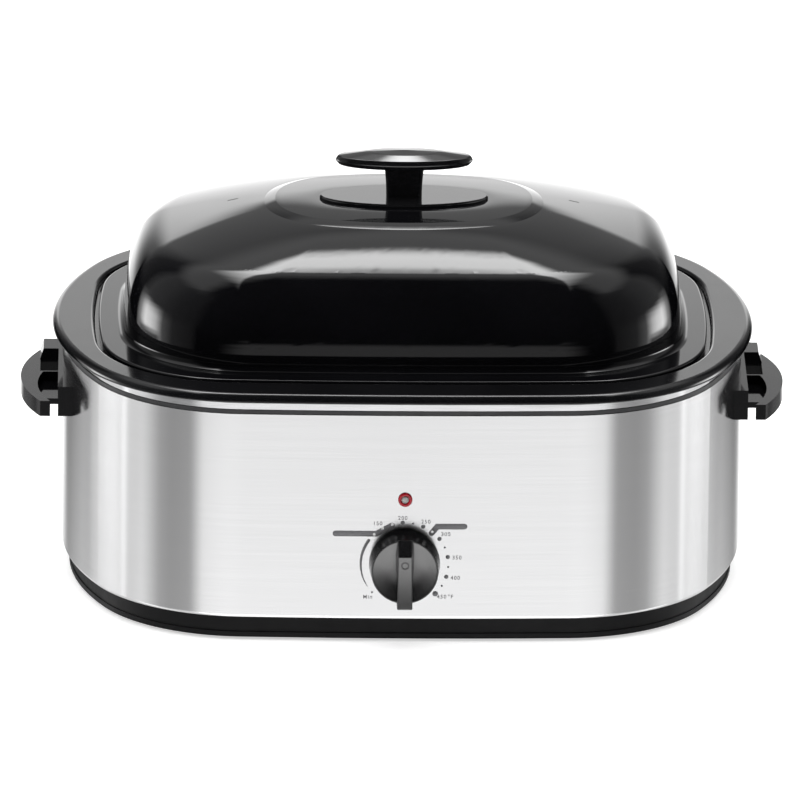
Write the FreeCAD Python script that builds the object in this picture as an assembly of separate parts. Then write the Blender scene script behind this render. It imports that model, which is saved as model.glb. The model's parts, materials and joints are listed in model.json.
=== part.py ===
import FreeCAD, Part
import math
import os
from collections import namedtuple

# Electric roaster oven, in millimetres. +X is to the right, -Y is the front with the dial, +Z is up.
# Heights are measured from the surface the feet stand on. An inset is a distance inwards from the
# outline of the steel shell. Negative insets lie outside the shell.

V = FreeCAD.Vector
UP = V(0, 0, 1)
Plan = namedtuple("Plan", "half_width half_depth corner side front")

# ---- clearances ----
SEAT_GAP = 0.3          # between a lift-out piece and its seat
SLIP = 0.1              # radial play of a screw or spigot in its hole
RUN_FIT = 0.05          # radial play of the turning shaft
CURVE_GAP = 0.3         # between curved sheets that face each other
KNOB_GAP = 0.6          # between the back of the dial knob and the shell
TOUCH = 0.1             # how near an edge lies to a place to count as being there
THROUGH = 6.4           # length of the cutter of a hole through a sheet

# ---- outline of the shell: three tangent arcs to each quarter ----
SHELL_WIDTH = 553.4
SHELL_DEPTH = 413.0
CORNER_RADIUS = 133.0
SIDE_RADIUS = 295.0
FRONT_RADIUS = 3300.0

# ---- outer shell ----
SHELL_SHEET = 0.8
SHELL_BOTTOM = 20.5
SHELL_TOP = 193.5
SHELL_BEND = 3.0
SHELL_FLANGE = 24.0     # in-turned flange that the base tray is screwed to

# ---- seal and polished trim on top of the shell ----
SEAL_HEIGHT = 3.5
SEAL_INSET = 0.6
SEAL_DEPTH = 6.0
SEAL_LIP = 1.6
SEAL_LIP_DROP = 7.0
TRIM_HEIGHT = 7.0
TRIM_INSET = 1.4
TRIM_SHEET = 1.0
TRIM_BEND = 1.6
TRIM_FLANGE = 16.0

# ---- heating well ----
WELL_SHEET = 0.8
WELL_FLANGE_INSET = 4.0
WELL_INSET = 40.8
WELL_TOP_BEND = 4.0
WELL_FLOOR = 44.8
WELL_BOTTOM_BEND = 22.0

# ---- roasting pan ----
PAN_SHEET = 1.0
RIM_OVERHANG = 8.6
RIM_ROLL = 7.2
RIM_HEIGHT = 6.6        # from the ledge that carries the lid up to the top of the rim
RIM_EDGE_INSET = 25.0
MOUTH_CORNER_SHARE = 0.85   # the rim's inner edge has tighter corners than the shell,
MOUTH_SIDE_SHARE = 3.07     # and straighter sides
RIM_EDGE_BEND = 2.6
RIM_FLAT_SHARE = 0.5    # of the rim's width, that its outer ring covers
RIM_LAP_SHARE = 0.6     # of the rim's width, that its inner ring covers
LEDGE_BEND = 1.6
LEDGE_CLEAR = 2.0       # from the ends of the overlapping rings to the bends beside the ledge
PAN_INSET = 47.0
PAN_TAPER = 8.0
PAN_MOUTH_BEND = 4.0
PAN_DEPTH = 151.0
PAN_BOTTOM_BEND = 25.0
FLOOR_LAP = 4.0         # flat ring of a pressed vessel's floor, beyond its bottom bend

# ---- lid ----
LID_SHEET = 1.0
LID_GAP = 4.0           # from the rim's inner edge to the lid's edge
LID_EDGE_HEIGHT = 6.5
LID_EDGE_BEND = 1.8
DOME_INSET = 25.0       # from the rim's inner edge to the dome's wall
DOME_CORNER_SHARE = 0.79    # of the shell's corner radius
FLANGE_LAP = 6.0        # of the lid's flange inside the dome's wall, before the dome is hollowed
FOOT_FILLET = 6.0
FOOT_SINK = 0.25        # of the dome's foot into the lid's flange
FOOT_STEPS = 4
SHOULDER_SHARE = 0.33   # of the way from the dome's foot to the platform
SHOULDER_RISE = 62.3
SHOULDER_POWER = 2.5
SHOULDER_STEPS = 7
CROWN_RISE = 33.7
CROWN_BOW = 0.41        # 0 gives a straight slope from the shoulder to the platform
CROWN_STEPS = 4
PLATFORM_WIDTH = 227.0
PLATFORM_DEPTH = 152.0
PLATFORM_CORNER = 66.0
PLATFORM_SIDE = 84.0
PLATFORM_FRONT = 240.0
PLATFORM_RISE = 3.1
PLATFORM_EDGE = 5.0
VENT_SETBACK = 25.5     # from the platform's side to the middle of a vent slot
VENT_Y = 20.0
VENT_LENGTH = 8.5
VENT_WIDTH = 1.5

# ---- lid knob and the oval plate under it ----
ESCUTCHEON_WIDTH = 137.0
ESCUTCHEON_DEPTH = 58.0
ESCUTCHEON_SHEET = 3.0
ESCUTCHEON_CHAMFER = 1.2
STEM_HEIGHT = 26.0
STEM_TOP_WIDTH = 33.0
STEM_FOOT_WIDTH = 29.0
STEM_TOP_DEPTH = 19.0
STEM_FOOT_DEPTH = 16.0
STEM_CORNER = 4.0
CAP_WIDTH = 112.0
CAP_DEPTH = 40.0
CAP_EDGE = 5.5
CAP_CROWN = 6.5
CAP_BULGE_PLACE = 0.6   # of the cap's radius, where its crown is still CAP_BULGE_RISE of its height
CAP_BULGE_RISE = 0.68
LID_SCREW_LENGTH = 24.0
LID_SCREW_RADIUS = 3.0
LID_WASHER_RADIUS = 13.0
LID_WASHER_SHEET = 1.2

# ---- base tray, feet and heat shield ----
TRAY_INSET = 6.8
TRAY_BOTTOM = 2.5
TRAY_WALL = 2.5
TRAY_FLOOR = 2.5
TRAY_LIP_HEIGHT = 4.5
TRAY_LIP = 1.0
FOOT_RADIUS = 14.0
FOOT_X = 190.0
FOOT_Y = 118.0
BOSS_RADIUS = 5.0
FOOT_BOSS = 8.0
SHIELD_SHEET = 0.8
SHIELD_HEIGHT = 30.0
SHIELD_INSET = 44.0
SHIELD_POST_X = 150.0
SHIELD_POST_Y = 90.0
TRAY_SCREW_X = 120.0
TRAY_SCREW_INSET = 17.0
AIR_SLOTS = 9
AIR_SLOT_LENGTH = 46.0
AIR_SLOT_WIDTH = 5.0
AIR_SLOT_PITCH = 14.0

# ---- small screws ----
SCREW_RADIUS = 2.0
SCREW_HEAD_RADIUS = 3.8
SCREW_HEAD = 2.0
SCREW_LENGTH = 9.0
FOOT_SCREW_HEAD = 1.4

# ---- heater and insulation round the well ----
BAND_SHEET = 2.0
BAND_BOTTOM = 70.0
BAND_HEIGHT = 46.0
BAND_SPLIT = 26.0       # gap between the two ends of the band, at the front
BAND_STUD_RADIUS = 2.0
BAND_STUD_LENGTH = 6.0
BAND_STUD_X = 20.0
CLAMP_LENGTH = 40.0
CLAMP_HEIGHT = 6.0
CLAMP_SHEET = 1.0
CLAMP_SETBACK = 10.0    # from the band's edges
BLANKET_SHEET = 12.0
BLANKET_BOTTOM = 52.0
BLANKET_TOP = 186.0
BLANKET_WINDOW_WIDTH = 64.0
BLANKET_WINDOW_MARGIN = 4.0

# ---- handles ----
HANDLE_LENGTH = 136.0
HANDLE_REACH = 34.3
HANDLE_END_REACH = 18.0
HANDLE_ROOT = 33.0      # drawn inside the widest point of the shell, and cut off along its wall
HANDLE_BOTTOM = 146.0
GRIP_HEIGHT = 13.0
PLATE_HEIGHT = 25.0
PLATE_REACH = 3.6
GAP_FRONT_REACH = 9.8   # inner side of the grip, measured from the shell
GAP_MIDDLE_REACH = 20.3
GAP_BACK_REACH = 16.0
GAP_OPEN_LENGTH = 31.0
GAP_LENGTH = 77.0
GAP_FLOOR = 5.0
SLOT_START = 79.0       # from the handle's front end
SLOT_LENGTH = 31.0
SLOT_REACH = 18.5
STOP_LENGTH = 26.0
STOP_RISE = 9.0
STOP_REACH = 19.0
STOP_SLOPE = 3.0
HANDLE_SCREW_PITCH = 84.0
HANDLE_SCREW_HEIGHT = 164.5
HANDLE_SCREW_RADIUS = 2.0
WASHER_RADIUS = 7.0
WASHER_SHEET = 1.0

# ---- dial knob and thermostat ----
DIAL_HEIGHT = 67.9
KNOB_BASE_RADIUS = 28.7
KNOB_FACE_RADIUS = 27.0
KNOB_DISC = 19.5
KNOB_GRIP_WIDTH = 13.0
KNOB_GRIP_TOP = 28.0
KNOB_GRIP_START = 15.8
KNOB_GRIP_END = 29.7
KNOB_GRIP_UNDERCUT = 9.0
KNOB_EDGE = 1.6
KNOB_GRIP_EDGE = 1.0
KNOB_GRIP_ROOT_BEND = 0.2
KNOB_GRIP_FOOT_BEND = 2.0
KNOB_GRIP_SHOULDER = 5.0
KNOB_RECESS_RADIUS = 22.0
KNOB_RECESS = 6.0
KNOB_HUB_RADIUS = 6.0
KNOB_RING_RADIUS = 3.0
KNOB_RING_WIDTH = 0.8
KNOB_RING_PLACE = 8.0
KNOB_RING_DEPTH = 0.4
SPRING_SHEET = 0.7
SPRING_WIDTH = 3.0
SHAFT_RADIUS = 3.0
SHAFT_FLAT = 2.2
SHAFT_IN_KNOB = 14.0
SHAFT_IN_BODY = 12.0
COLLAR_RADIUS = 4.6
COLLAR_WIDTH = 1.5
BUSH_RADIUS = 4.8
THERMOSTAT_SIZE = 38.0
THERMOSTAT_DEPTH = 16.0
BRACKET_WIDTH = 60.0
BRACKET_HEIGHT = 34.0
BRACKET_SHEET = 1.2
THERMOSTAT_SCREW_PITCH = 26.0
BULB_RADIUS = 3.0
BULB_LENGTH = 70.0
BULB_X = 13.0
BULB_END_Y = 60.0       # how far the bulb's back end stops in front of the middle
CAPILLARY_RADIUS = 1.0
CAPILLARY_BEND = 6.0
CLIP_WIDTH = 14.0
CLIP_LENGTH = 10.0

# ---- pilot lamp ----
LAMP_HEIGHT = 122.7
LAMP_RADIUS = 5.75
LAMP_RIM = 1.8
LAMP_BARREL_RADIUS = 4.3
LAMP_BARREL = 11.0
LAMP_HOLDER_RADIUS = 7.0
LAMP_HOLDER_LENGTH = 4.0

# ---- power inlet ----
GLAND_HEIGHT = 42.0
GLAND_BORE_RADIUS = 3.6
GLAND_BODY_RADIUS = 6.0
GLAND_FLANGE_RADIUS = 10.0
GLAND_FLANGE = 7.0
GLAND_INSIDE = 9.0
GLAND_NUT_RADIUS = 9.0
GLAND_NUT = 4.0
TERMINAL_LENGTH = 42.0
TERMINAL_DEPTH = 18.0
TERMINAL_HEIGHT = 13.0
TERMINAL_INSET = 42.0
TERMINAL_POLES = 3
WIRE_RADIUS = 1.3
WIRE_BEND = 6.0
WIRE_TIGHT_BEND = 3.0
WIRE_LAMP_BEND = 1.5
WIRE_PITCH = 9.0
WIRE_HEIGHT = 13.0      # of the wires' run over the tray
WIRE_CORRIDOR = 30.0    # inset of their rise beside the heat shield

# ---- wire rack ----
RACK_WIRE_RADIUS = 2.4
RACK_BAR_RADIUS = 1.6
RACK_LOOP_RADIUS = 2.0
RACK_INSET = 74.0
RACK_BARS = 15
RACK_BAR_PITCH = 24.0
RACK_BAR_LIFT = 1.2     # of the cross bars above the frame wire
RACK_BAR_SETBACK = 1.2
RACK_LEG = 8.0
RACK_LEG_BAR = 5        # which cross bar carries the legs, counted from the middle
RACK_LEG_SETBACK = 12.0 # from the frame wire, so that the legs stand on the pan's flat floor
RACK_LOOP_X = 168.0
RACK_LOOP_WIDTH = 90.0
RACK_LOOP_HEIGHT = 46.0
RACK_LOOP_BEND = 14.0

# ---- derived levels and outlines ----
SHELL = Plan(SHELL_WIDTH / 2, SHELL_DEPTH / 2, CORNER_RADIUS, SIDE_RADIUS, FRONT_RADIUS)
MOUTH = Plan(
    SHELL.half_width - RIM_EDGE_INSET,
    SHELL.half_depth - RIM_EDGE_INSET,
    SHELL.corner * MOUTH_CORNER_SHARE,
    SHELL.side * MOUTH_SIDE_SHARE,
    SHELL.front - RIM_EDGE_INSET,
)
TRIM_BOTTOM = SHELL_TOP + SEAL_HEIGHT
TRIM_TOP = TRIM_BOTTOM + TRIM_HEIGHT
WELL_TOP = TRIM_TOP + WELL_SHEET
LEDGE = WELL_TOP + SEAT_GAP + PAN_SHEET
RIM_TOP = LEDGE + RIM_HEIGHT
PAN_FLOOR = LEDGE - PAN_DEPTH
LID_EDGE_BOTTOM = LEDGE + SEAT_GAP
LID_FLANGE = LID_EDGE_BOTTOM + LID_EDGE_HEIGHT
PLATFORM_FOOT = LID_FLANGE + SHOULDER_RISE + CROWN_RISE
PLATFORM_TOP = PLATFORM_FOOT + PLATFORM_RISE
ESCUTCHEON_TOP = PLATFORM_TOP + ESCUTCHEON_SHEET
STEM_TOP = ESCUTCHEON_TOP + STEM_HEIGHT
TRAY_INSIDE = TRAY_BOTTOM + TRAY_FLOOR
WELL_OUTER_INSET = WELL_INSET - WELL_SHEET
BAND_INSET = WELL_OUTER_INSET - CURVE_GAP - BAND_SHEET
BLANKET_INSET = BAND_INSET - CURVE_GAP - BLANKET_SHEET
FRONT = -SHELL.half_depth
FRONT_REACH = SHELL.half_depth + KNOB_GAP + KNOB_GRIP_TOP
BACK_REACH = SHELL.half_depth + RIM_OVERHANG
MIDDLE_SHIFT = V(0, (FRONT_REACH - BACK_REACH) / 2, 0)


# ---- plan outlines ----
def inset(plan, distance):
    """The outline moved inwards by a distance all round."""
    return Plan(*(size - distance for size in plan))


def blend(first, last, share):
    """The outline that lies a share of the way from one outline to another."""
    return Plan(*(a + (b - a) * share for a, b in zip(first, last)))


def quarter(plan):
    """Where the side, corner and front arcs of one quarter meet, and the corner arc's centre."""
    front_centre = V(0, plan.half_depth - plan.front, 0)
    side_centre = V(plan.half_width - plan.side, 0, 0)
    to_front = plan.front - plan.corner
    to_side = plan.side - plan.corner
    span = side_centre - front_centre
    along = (to_front**2 - to_side**2 + span.Length**2) / (2 * span.Length)
    across = math.sqrt(to_front**2 - along**2)
    direction = V(span).normalize()
    normal = V(direction.y, -direction.x, 0)
    centre = front_centre + direction * along + normal * across
    front_point = front_centre + (centre - front_centre) * (plan.front / to_front)
    side_point = side_centre + (centre - side_centre) * (plan.side / to_side)
    return side_point, front_point, centre


def mirrored(point, x_sign, y_sign):
    return V(point.x * x_sign, point.y * y_sign, point.z)


def outline_arcs(plan):
    """The eight arcs of an outline, anticlockwise from the right side, as (start, middle, end, centre)."""
    side, front, centre = quarter(plan)
    middle = centre + ((side - centre) + (front - centre)).normalize() * plan.corner
    side_centre = V(plan.half_width - plan.side, 0, 0)
    front_centre = V(0, plan.half_depth - plan.front, 0)
    side_tip = V(plan.half_width, 0, 0)
    front_tip = V(0, plan.half_depth, 0)
    corner_arc = (side, middle, front, centre)
    arcs = []
    for x_sign, y_sign in ((1, 1), (-1, 1), (-1, -1), (1, -1)):
        start, mid, end, hub = (mirrored(point, x_sign, y_sign) for point in corner_arc)
        if x_sign * y_sign < 0:
            start, end = end, start
        arcs.append((start, mid, end, hub))
    long_arcs = (
        (mirrored(front, 1, 1), front_tip, mirrored(front, -1, 1), front_centre),
        (mirrored(side, -1, 1), -side_tip, mirrored(side, -1, -1), -side_centre),
        (mirrored(front, -1, -1), -front_tip, mirrored(front, 1, -1), -front_centre),
        (mirrored(side, 1, -1), side_tip, mirrored(side, 1, 1), side_centre),
    )
    return [arc for pair in zip(arcs, long_arcs) for arc in pair]


def outline(plan, height):
    edges = [Part.Arc(start, mid, end).toShape() for start, mid, end, _ in outline_arcs(plan)]
    wire = Part.Wire(edges)
    wire.translate(UP * height)
    return wire


def prism(plan, bottom, top):
    return Part.Face(outline(plan, bottom)).extrude(UP * (top - bottom))


def ring(plan, thickness, bottom, top):
    return prism(plan, bottom, top).cut(prism(inset(plan, thickness), bottom, top))


# ---- profiles and sweeps ----
def rounded_path(corners):
    """A wire through (point, radius) corners, with a tangent arc at each corner between its ends."""
    edges = []
    start = corners[0][0]
    for (before, _), (corner, radius), (after, _) in zip(corners, corners[1:], corners[2:]):
        back = (before - corner).normalize()
        ahead = (after - corner).normalize()
        half_angle = back.getAngle(ahead) / 2
        reach = radius / math.tan(half_angle)
        first = corner + back * reach
        last = corner + ahead * reach
        middle = corner + (back + ahead).normalize() * (radius / math.sin(half_angle) - radius)
        if start.distanceToPoint(first) > Part.Precision.confusion() * 10:
            edges.append(Part.makeLine(start, first))
        edges.append(Part.Arc(first, middle, last).toShape())
        start = last
    edges.append(Part.makeLine(start, corners[-1][0]))
    return Part.Wire(edges)


def sheet_profile(corners, thickness):
    """The section of a sheet along (inset, height, bend) corners, thickened to the right of that path."""
    path = rounded_path([(V(-x, 0, z), bend) for x, z, bend in corners])
    return path.makeOffset2D(thickness, 0, True, True, False)


def swept(profile, plan):
    """A profile drawn at x = 0 on the outline, carried all the way round it."""
    pieces = []
    for start, _, end, centre in outline_arcs(plan):
        first = start - centre
        last = end - centre
        section = profile.copy()
        section.rotate(V(), UP, math.degrees(math.atan2(first.y, first.x)))
        section.translate(start)
        angle = math.degrees(math.atan2(last.y, last.x) - math.atan2(first.y, first.x)) % 360
        pieces.append(section.revolve(centre, UP, angle))
    return pieces[0].multiFuse(pieces[1:]).removeSplitter()


def tube(corners, radius):
    """A round rod along (point, bend radius) corners."""
    path = rounded_path(corners)
    start = path.Edges[0]
    direction = start.tangentAt(start.FirstParameter)
    circle = Part.Wire(Part.makeCircle(radius, corners[0][0], direction))
    return path.makePipeShell([circle], True, False)


def rod(start, end, radius):
    return Part.makeCylinder(radius, start.distanceToPoint(end), start, end - start)


def box(x0, x1, y0, y1, z0, z1):
    return Part.makeBox(x1 - x0, y1 - y0, z1 - z0, V(x0, y0, z0))


def screw(seat, direction, length, radius=SCREW_RADIUS, head_radius=SCREW_HEAD_RADIUS, head=SCREW_HEAD):
    """A pan-head screw: the underside of its head lies at the seat and its shank runs along direction."""
    shank = Part.makeCylinder(radius, length, seat, direction)
    cap = Part.makeCylinder(head_radius, head, seat - direction * head, direction)
    crown = max(cap.Edges, key=lambda e: (seat - e.CenterOfMass).dot(direction))
    cap = cap.makeFillet(head / 2, [crown])
    slot_depth = head / 2
    slot = Part.makeBox(head_radius * 2, head / 3, slot_depth, V(-head_radius, -head / 6, 0))
    slot.Placement = FreeCAD.Placement(seat - direction * head, FreeCAD.Rotation(UP, direction)).multiply(
        slot.Placement
    )
    return cap.cut(slot).fuse(shank)


def at_corners(x, y):
    return [V(x * sx, y * sy, 0) for sx in (-1, 1) for sy in (-1, 1)]


# ---- the dial's own axes: x to the right, y up and z out of the shell's front ----
def to_front(shape, height):
    """Moves a shape drawn in the dial's axes to the shell's front at a height."""
    shape.Placement = FreeCAD.Placement(V(0, FRONT, height), FreeCAD.Rotation(V(1, 0, 0), 90)).multiply(
        shape.Placement
    )
    return shape


def sheet_hole(centre, direction, radius, length=THROUGH):
    """The cutter of a hole through a sheet at a point."""
    return Part.makeCylinder(radius, length, centre - direction * (length / 2), direction)


def front_hole(radius, height, x=0.0):
    return sheet_hole(V(x, FRONT, height), V(0, 1, 0), radius)


# ---- housing ----
def handle_screw_points(side):
    return [
        V(side * SHELL.half_width, y, HANDLE_SCREW_HEIGHT)
        for y in (-HANDLE_SCREW_PITCH / 2, HANDLE_SCREW_PITCH / 2)
    ]


def outer_shell():
    profile = sheet_profile(
        [(SHELL_FLANGE, SHELL_BOTTOM, 0), (0, SHELL_BOTTOM, SHELL_BEND), (0, SHELL_TOP, 0)], SHELL_SHEET
    )
    shell = swept(profile, SHELL)
    shell = shell.cut(front_hole(BUSH_RADIUS + SLIP, DIAL_HEIGHT))
    shell = shell.cut(front_hole(LAMP_BARREL_RADIUS + SLIP, LAMP_HEIGHT))
    for x in (-THERMOSTAT_SCREW_PITCH / 2, THERMOSTAT_SCREW_PITCH / 2):
        shell = shell.cut(front_hole(SCREW_RADIUS + SLIP, DIAL_HEIGHT, x))
    shell = shell.cut(sheet_hole(V(0, SHELL.half_depth, GLAND_HEIGHT), V(0, 1, 0), GLAND_BODY_RADIUS + SLIP))
    for point in handle_screw_points(-1) + handle_screw_points(1):
        centre = V(math.copysign(inner_wall_x(point.y), point.x), point.y, point.z)
        shell = shell.cut(sheet_hole(centre, V(1, 0, 0), HANDLE_SCREW_RADIUS + SLIP))
    for point in tray_screw_points():
        shell = shell.cut(sheet_hole(point + UP * SHELL_BOTTOM, UP, SCREW_RADIUS + SLIP))
    return shell


def trim_seal():
    body = ring(inset(SHELL, SEAL_INSET), SEAL_DEPTH, SHELL_TOP, TRIM_BOTTOM)
    lip_plan = inset(SHELL, SHELL_SHEET + SLIP)
    lip = ring(lip_plan, SEAL_LIP, SHELL_TOP - SEAL_LIP_DROP, SHELL_TOP + SEAL_HEIGHT / 2)
    return body.fuse(lip).removeSplitter()


def top_trim():
    profile = sheet_profile(
        [(TRIM_INSET, TRIM_BOTTOM, 0), (TRIM_INSET, TRIM_TOP, TRIM_BEND), (TRIM_FLANGE, TRIM_TOP, 0)],
        TRIM_SHEET,
    )
    return swept(profile, SHELL)


def vessel(corners, sheet, floor):
    """A pressed vessel: a swept wall and flange, closed by a flat floor."""
    wall = swept(sheet_profile(corners, sheet), SHELL)
    floor_plan = inset(SHELL, corners[-1][0] - FLOOR_LAP / 2)
    return wall.fuse(prism(floor_plan, floor - sheet, floor)).removeSplitter()


def heating_well():
    corners = [
        (WELL_FLANGE_INSET, WELL_TOP, 0),
        (WELL_INSET, WELL_TOP, WELL_TOP_BEND),
        (WELL_INSET, WELL_FLOOR, WELL_BOTTOM_BEND),
        (WELL_INSET + WELL_BOTTOM_BEND + FLOOR_LAP, WELL_FLOOR, 0),
    ]
    return vessel(corners, WELL_SHEET, WELL_FLOOR)


def band_gap(margin=0.0):
    """The space between the two ends of the heating band, at the front."""
    half = BAND_SPLIT / 2 + margin
    return box(-half, half, FRONT, 0, BAND_BOTTOM - margin, BAND_BOTTOM + BAND_HEIGHT + margin)


def band_front():
    """How far forward the heating band reaches."""
    return FRONT + BAND_INSET


def heating_band():
    band = ring(inset(SHELL, BAND_INSET), BAND_SHEET, BAND_BOTTOM, BAND_BOTTOM + BAND_HEIGHT)
    band = band.cut(band_gap())
    middle = BAND_BOTTOM + BAND_HEIGHT / 2
    for x in (-BAND_STUD_X, BAND_STUD_X):
        start = V(x, band_front() + BAND_SHEET / 2, middle)
        band = band.fuse(rod(start, V(x, band_front() - BAND_STUD_LENGTH, middle), BAND_STUD_RADIUS))
    return band


def band_clamps():
    """Two straps that pull the ends of the heating band together."""
    straps = []
    for bottom in (BAND_BOTTOM + CLAMP_SETBACK - CLAMP_HEIGHT, BAND_BOTTOM + BAND_HEIGHT - CLAMP_SETBACK):
        back = band_front()
        half = CLAMP_LENGTH / 2
        straps.append(box(-half, half, back - CLAMP_SHEET, back, bottom, bottom + CLAMP_HEIGHT))
    return Part.makeCompound(straps)


def insulation_blanket():
    blanket = ring(inset(SHELL, BLANKET_INSET), BLANKET_SHEET, BLANKET_BOTTOM, BLANKET_TOP)
    half = BLANKET_WINDOW_WIDTH / 2
    bottom = BAND_BOTTOM - BLANKET_WINDOW_MARGIN
    top = BAND_BOTTOM + BAND_HEIGHT + BLANKET_WINDOW_MARGIN
    return blanket.cut(box(-half, half, FRONT, 0, bottom, top))


def shield_posts():
    return at_corners(SHIELD_POST_X, SHIELD_POST_Y)


def tray_screw_points():
    reach = SHELL.half_depth - TRAY_SCREW_INSET
    side = SHELL.half_width - TRAY_SCREW_INSET
    return at_corners(TRAY_SCREW_X, reach) + [V(-side, 0, 0), V(side, 0, 0)]


def heat_shield():
    plate = prism(inset(SHELL, SHIELD_INSET), SHIELD_HEIGHT, SHIELD_HEIGHT + SHIELD_SHEET)
    for point in shield_posts():
        plate = plate.cut(sheet_hole(point + UP * SHIELD_HEIGHT, UP, SCREW_RADIUS + SLIP))
    return plate


def shield_screws():
    seat = UP * (SHIELD_HEIGHT + SHIELD_SHEET)
    return Part.makeCompound([screw(point + seat, -UP, SCREW_LENGTH) for point in shield_posts()])


def base_tray():
    wall = inset(SHELL, TRAY_INSET)
    lip = prism(inset(wall, -TRAY_LIP), TRAY_BOTTOM, TRAY_BOTTOM + TRAY_LIP_HEIGHT)
    tray = prism(wall, TRAY_BOTTOM, SHELL_BOTTOM).fuse(lip)
    tray = tray.cut(prism(inset(wall, TRAY_WALL), TRAY_INSIDE, SHELL_BOTTOM))
    for point in shield_posts():
        tray = tray.fuse(rod(point + UP * TRAY_BOTTOM, point + UP * SHIELD_HEIGHT, BOSS_RADIUS))
        tray = tray.cut(
            rod(point + UP * (SHIELD_HEIGHT - SCREW_LENGTH), point + UP * SHIELD_HEIGHT, SCREW_RADIUS + SLIP)
        )
    for point in at_corners(FOOT_X, FOOT_Y):
        tray = tray.fuse(rod(point + UP * TRAY_BOTTOM, point + UP * (TRAY_INSIDE + FOOT_BOSS), BOSS_RADIUS))
        tray = tray.cut(rod(point, point + UP * (TRAY_BOTTOM + SCREW_LENGTH), SCREW_RADIUS + SLIP))
    for point in tray_screw_points():
        tray = tray.fuse(rod(point + UP * TRAY_BOTTOM, point + UP * SHELL_BOTTOM, BOSS_RADIUS))
        tray = tray.cut(rod(point, point + UP * SHELL_BOTTOM, SCREW_RADIUS + SLIP))
        tray = tray.cut(rod(point, point + UP * tray_screw_seat(), SCREW_HEAD_RADIUS + SLIP))
    first = -(AIR_SLOTS - 1) / 2 * AIR_SLOT_PITCH
    for number in range(AIR_SLOTS):
        x = first + number * AIR_SLOT_PITCH
        half_width = AIR_SLOT_WIDTH / 2
        half_length = AIR_SLOT_LENGTH / 2
        tray = tray.cut(box(x - half_width, x + half_width, -half_length, half_length, 0, TRAY_INSIDE))
    return tray.removeSplitter()


def tray_screw_seat():
    return SHELL_BOTTOM + SHELL_SHEET - SCREW_LENGTH + SLIP


def base_screws():
    screws = [screw(point + UP * tray_screw_seat(), UP, SCREW_LENGTH) for point in tray_screw_points()]
    return Part.makeCompound(screws)


def feet():
    pads = []
    for point in at_corners(FOOT_X, FOOT_Y):
        pad = rod(point, point + UP * TRAY_BOTTOM, FOOT_RADIUS)
        pad = pad.cut(rod(point, point + UP * TRAY_BOTTOM, SCREW_RADIUS + SLIP))
        pad = pad.cut(rod(point, point + UP * foot_screw_seat(), SCREW_HEAD_RADIUS + SLIP))
        pads.append(pad)
    return Part.makeCompound(pads)


def foot_screw_seat():
    """The foot's screw head stays a little above the surface that the foot stands on."""
    return SEAT_GAP + FOOT_SCREW_HEAD


def foot_screws():
    seat = UP * foot_screw_seat()
    length = SCREW_LENGTH - TRAY_BOTTOM
    return Part.makeCompound(
        [screw(p + seat, UP, length, head=FOOT_SCREW_HEAD) for p in at_corners(FOOT_X, FOOT_Y)]
    )


# ---- handles ----
def handle(side):
    """A carrying handle: a curved grip, a flat plate on the shell, and a slot and stop that hold the lid."""
    wall = SHELL.half_width
    front = -HANDLE_LENGTH / 2
    back = HANDLE_LENGTH / 2
    top = HANDLE_BOTTOM + GRIP_HEIGHT
    root = wall - HANDLE_ROOT
    end = wall + HANDLE_END_REACH
    grip_wire = Part.Wire([
        Part.makeLine(V(root, front, 0), V(end, front, 0)),
        Part.Arc(V(end, front, 0), V(wall + HANDLE_REACH, 0, 0), V(end, back, 0)).toShape(),
        Part.makeLine(V(end, back, 0), V(root, back, 0)),
        Part.makeLine(V(root, back, 0), V(root, front, 0)),
    ])
    grip_wire.translate(UP * HANDLE_BOTTOM)
    body = Part.Face(grip_wire).extrude(UP * GRIP_HEIGHT)
    body = body.cut(finger_gap(wall, front, top))
    slot = box(wall + PLATE_REACH, wall + SLOT_REACH, front + SLOT_START, front + SLOT_START + SLOT_LENGTH,
               HANDLE_BOTTOM, top)
    body = body.cut(slot)
    body = body.fuse(box(root, wall + PLATE_REACH, front, back, HANDLE_BOTTOM, HANDLE_BOTTOM + PLATE_HEIGHT))
    body = body.fuse(lid_stop(root, wall, back, top))
    body = body.cut(prism(SHELL, HANDLE_BOTTOM, top + PLATE_HEIGHT)).removeSplitter()
    for point in handle_screw_points(1):
        start = V(root, point.y, point.z)
        end_point = V(wall + PLATE_REACH - SEAT_GAP, point.y, point.z)
        body = body.cut(rod(start, end_point, HANDLE_SCREW_RADIUS + SLIP))
    if side < 0:
        body = body.mirror(V(), V(1, 0, 0))
    return body


def finger_gap(wall, front, top):
    """The hollow between the grip and the plate: open right through at the front, with a floor behind."""
    inner = wall + PLATE_REACH
    back = front + GAP_LENGTH
    middle = front + GAP_OPEN_LENGTH + (GAP_LENGTH - GAP_OPEN_LENGTH) / 4
    wire = Part.Wire([
        Part.makeLine(V(inner, front, 0), V(wall + GAP_FRONT_REACH, front, 0)),
        Part.Arc(
            V(wall + GAP_FRONT_REACH, front, 0), V(wall + GAP_MIDDLE_REACH, middle, 0),
            V(wall + GAP_BACK_REACH, back, 0),
        ).toShape(),
        Part.makeLine(V(wall + GAP_BACK_REACH, back, 0), V(inner, back, 0)),
        Part.makeLine(V(inner, back, 0), V(inner, front, 0)),
    ])
    wire.translate(UP * HANDLE_BOTTOM)
    gap = Part.Face(wire).extrude(UP * (top - HANDLE_BOTTOM))
    floor = box(
        wall, wall + HANDLE_REACH, front + GAP_OPEN_LENGTH, back, HANDLE_BOTTOM, HANDLE_BOTTOM + GAP_FLOOR
    )
    return gap.cut(floor)


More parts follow.
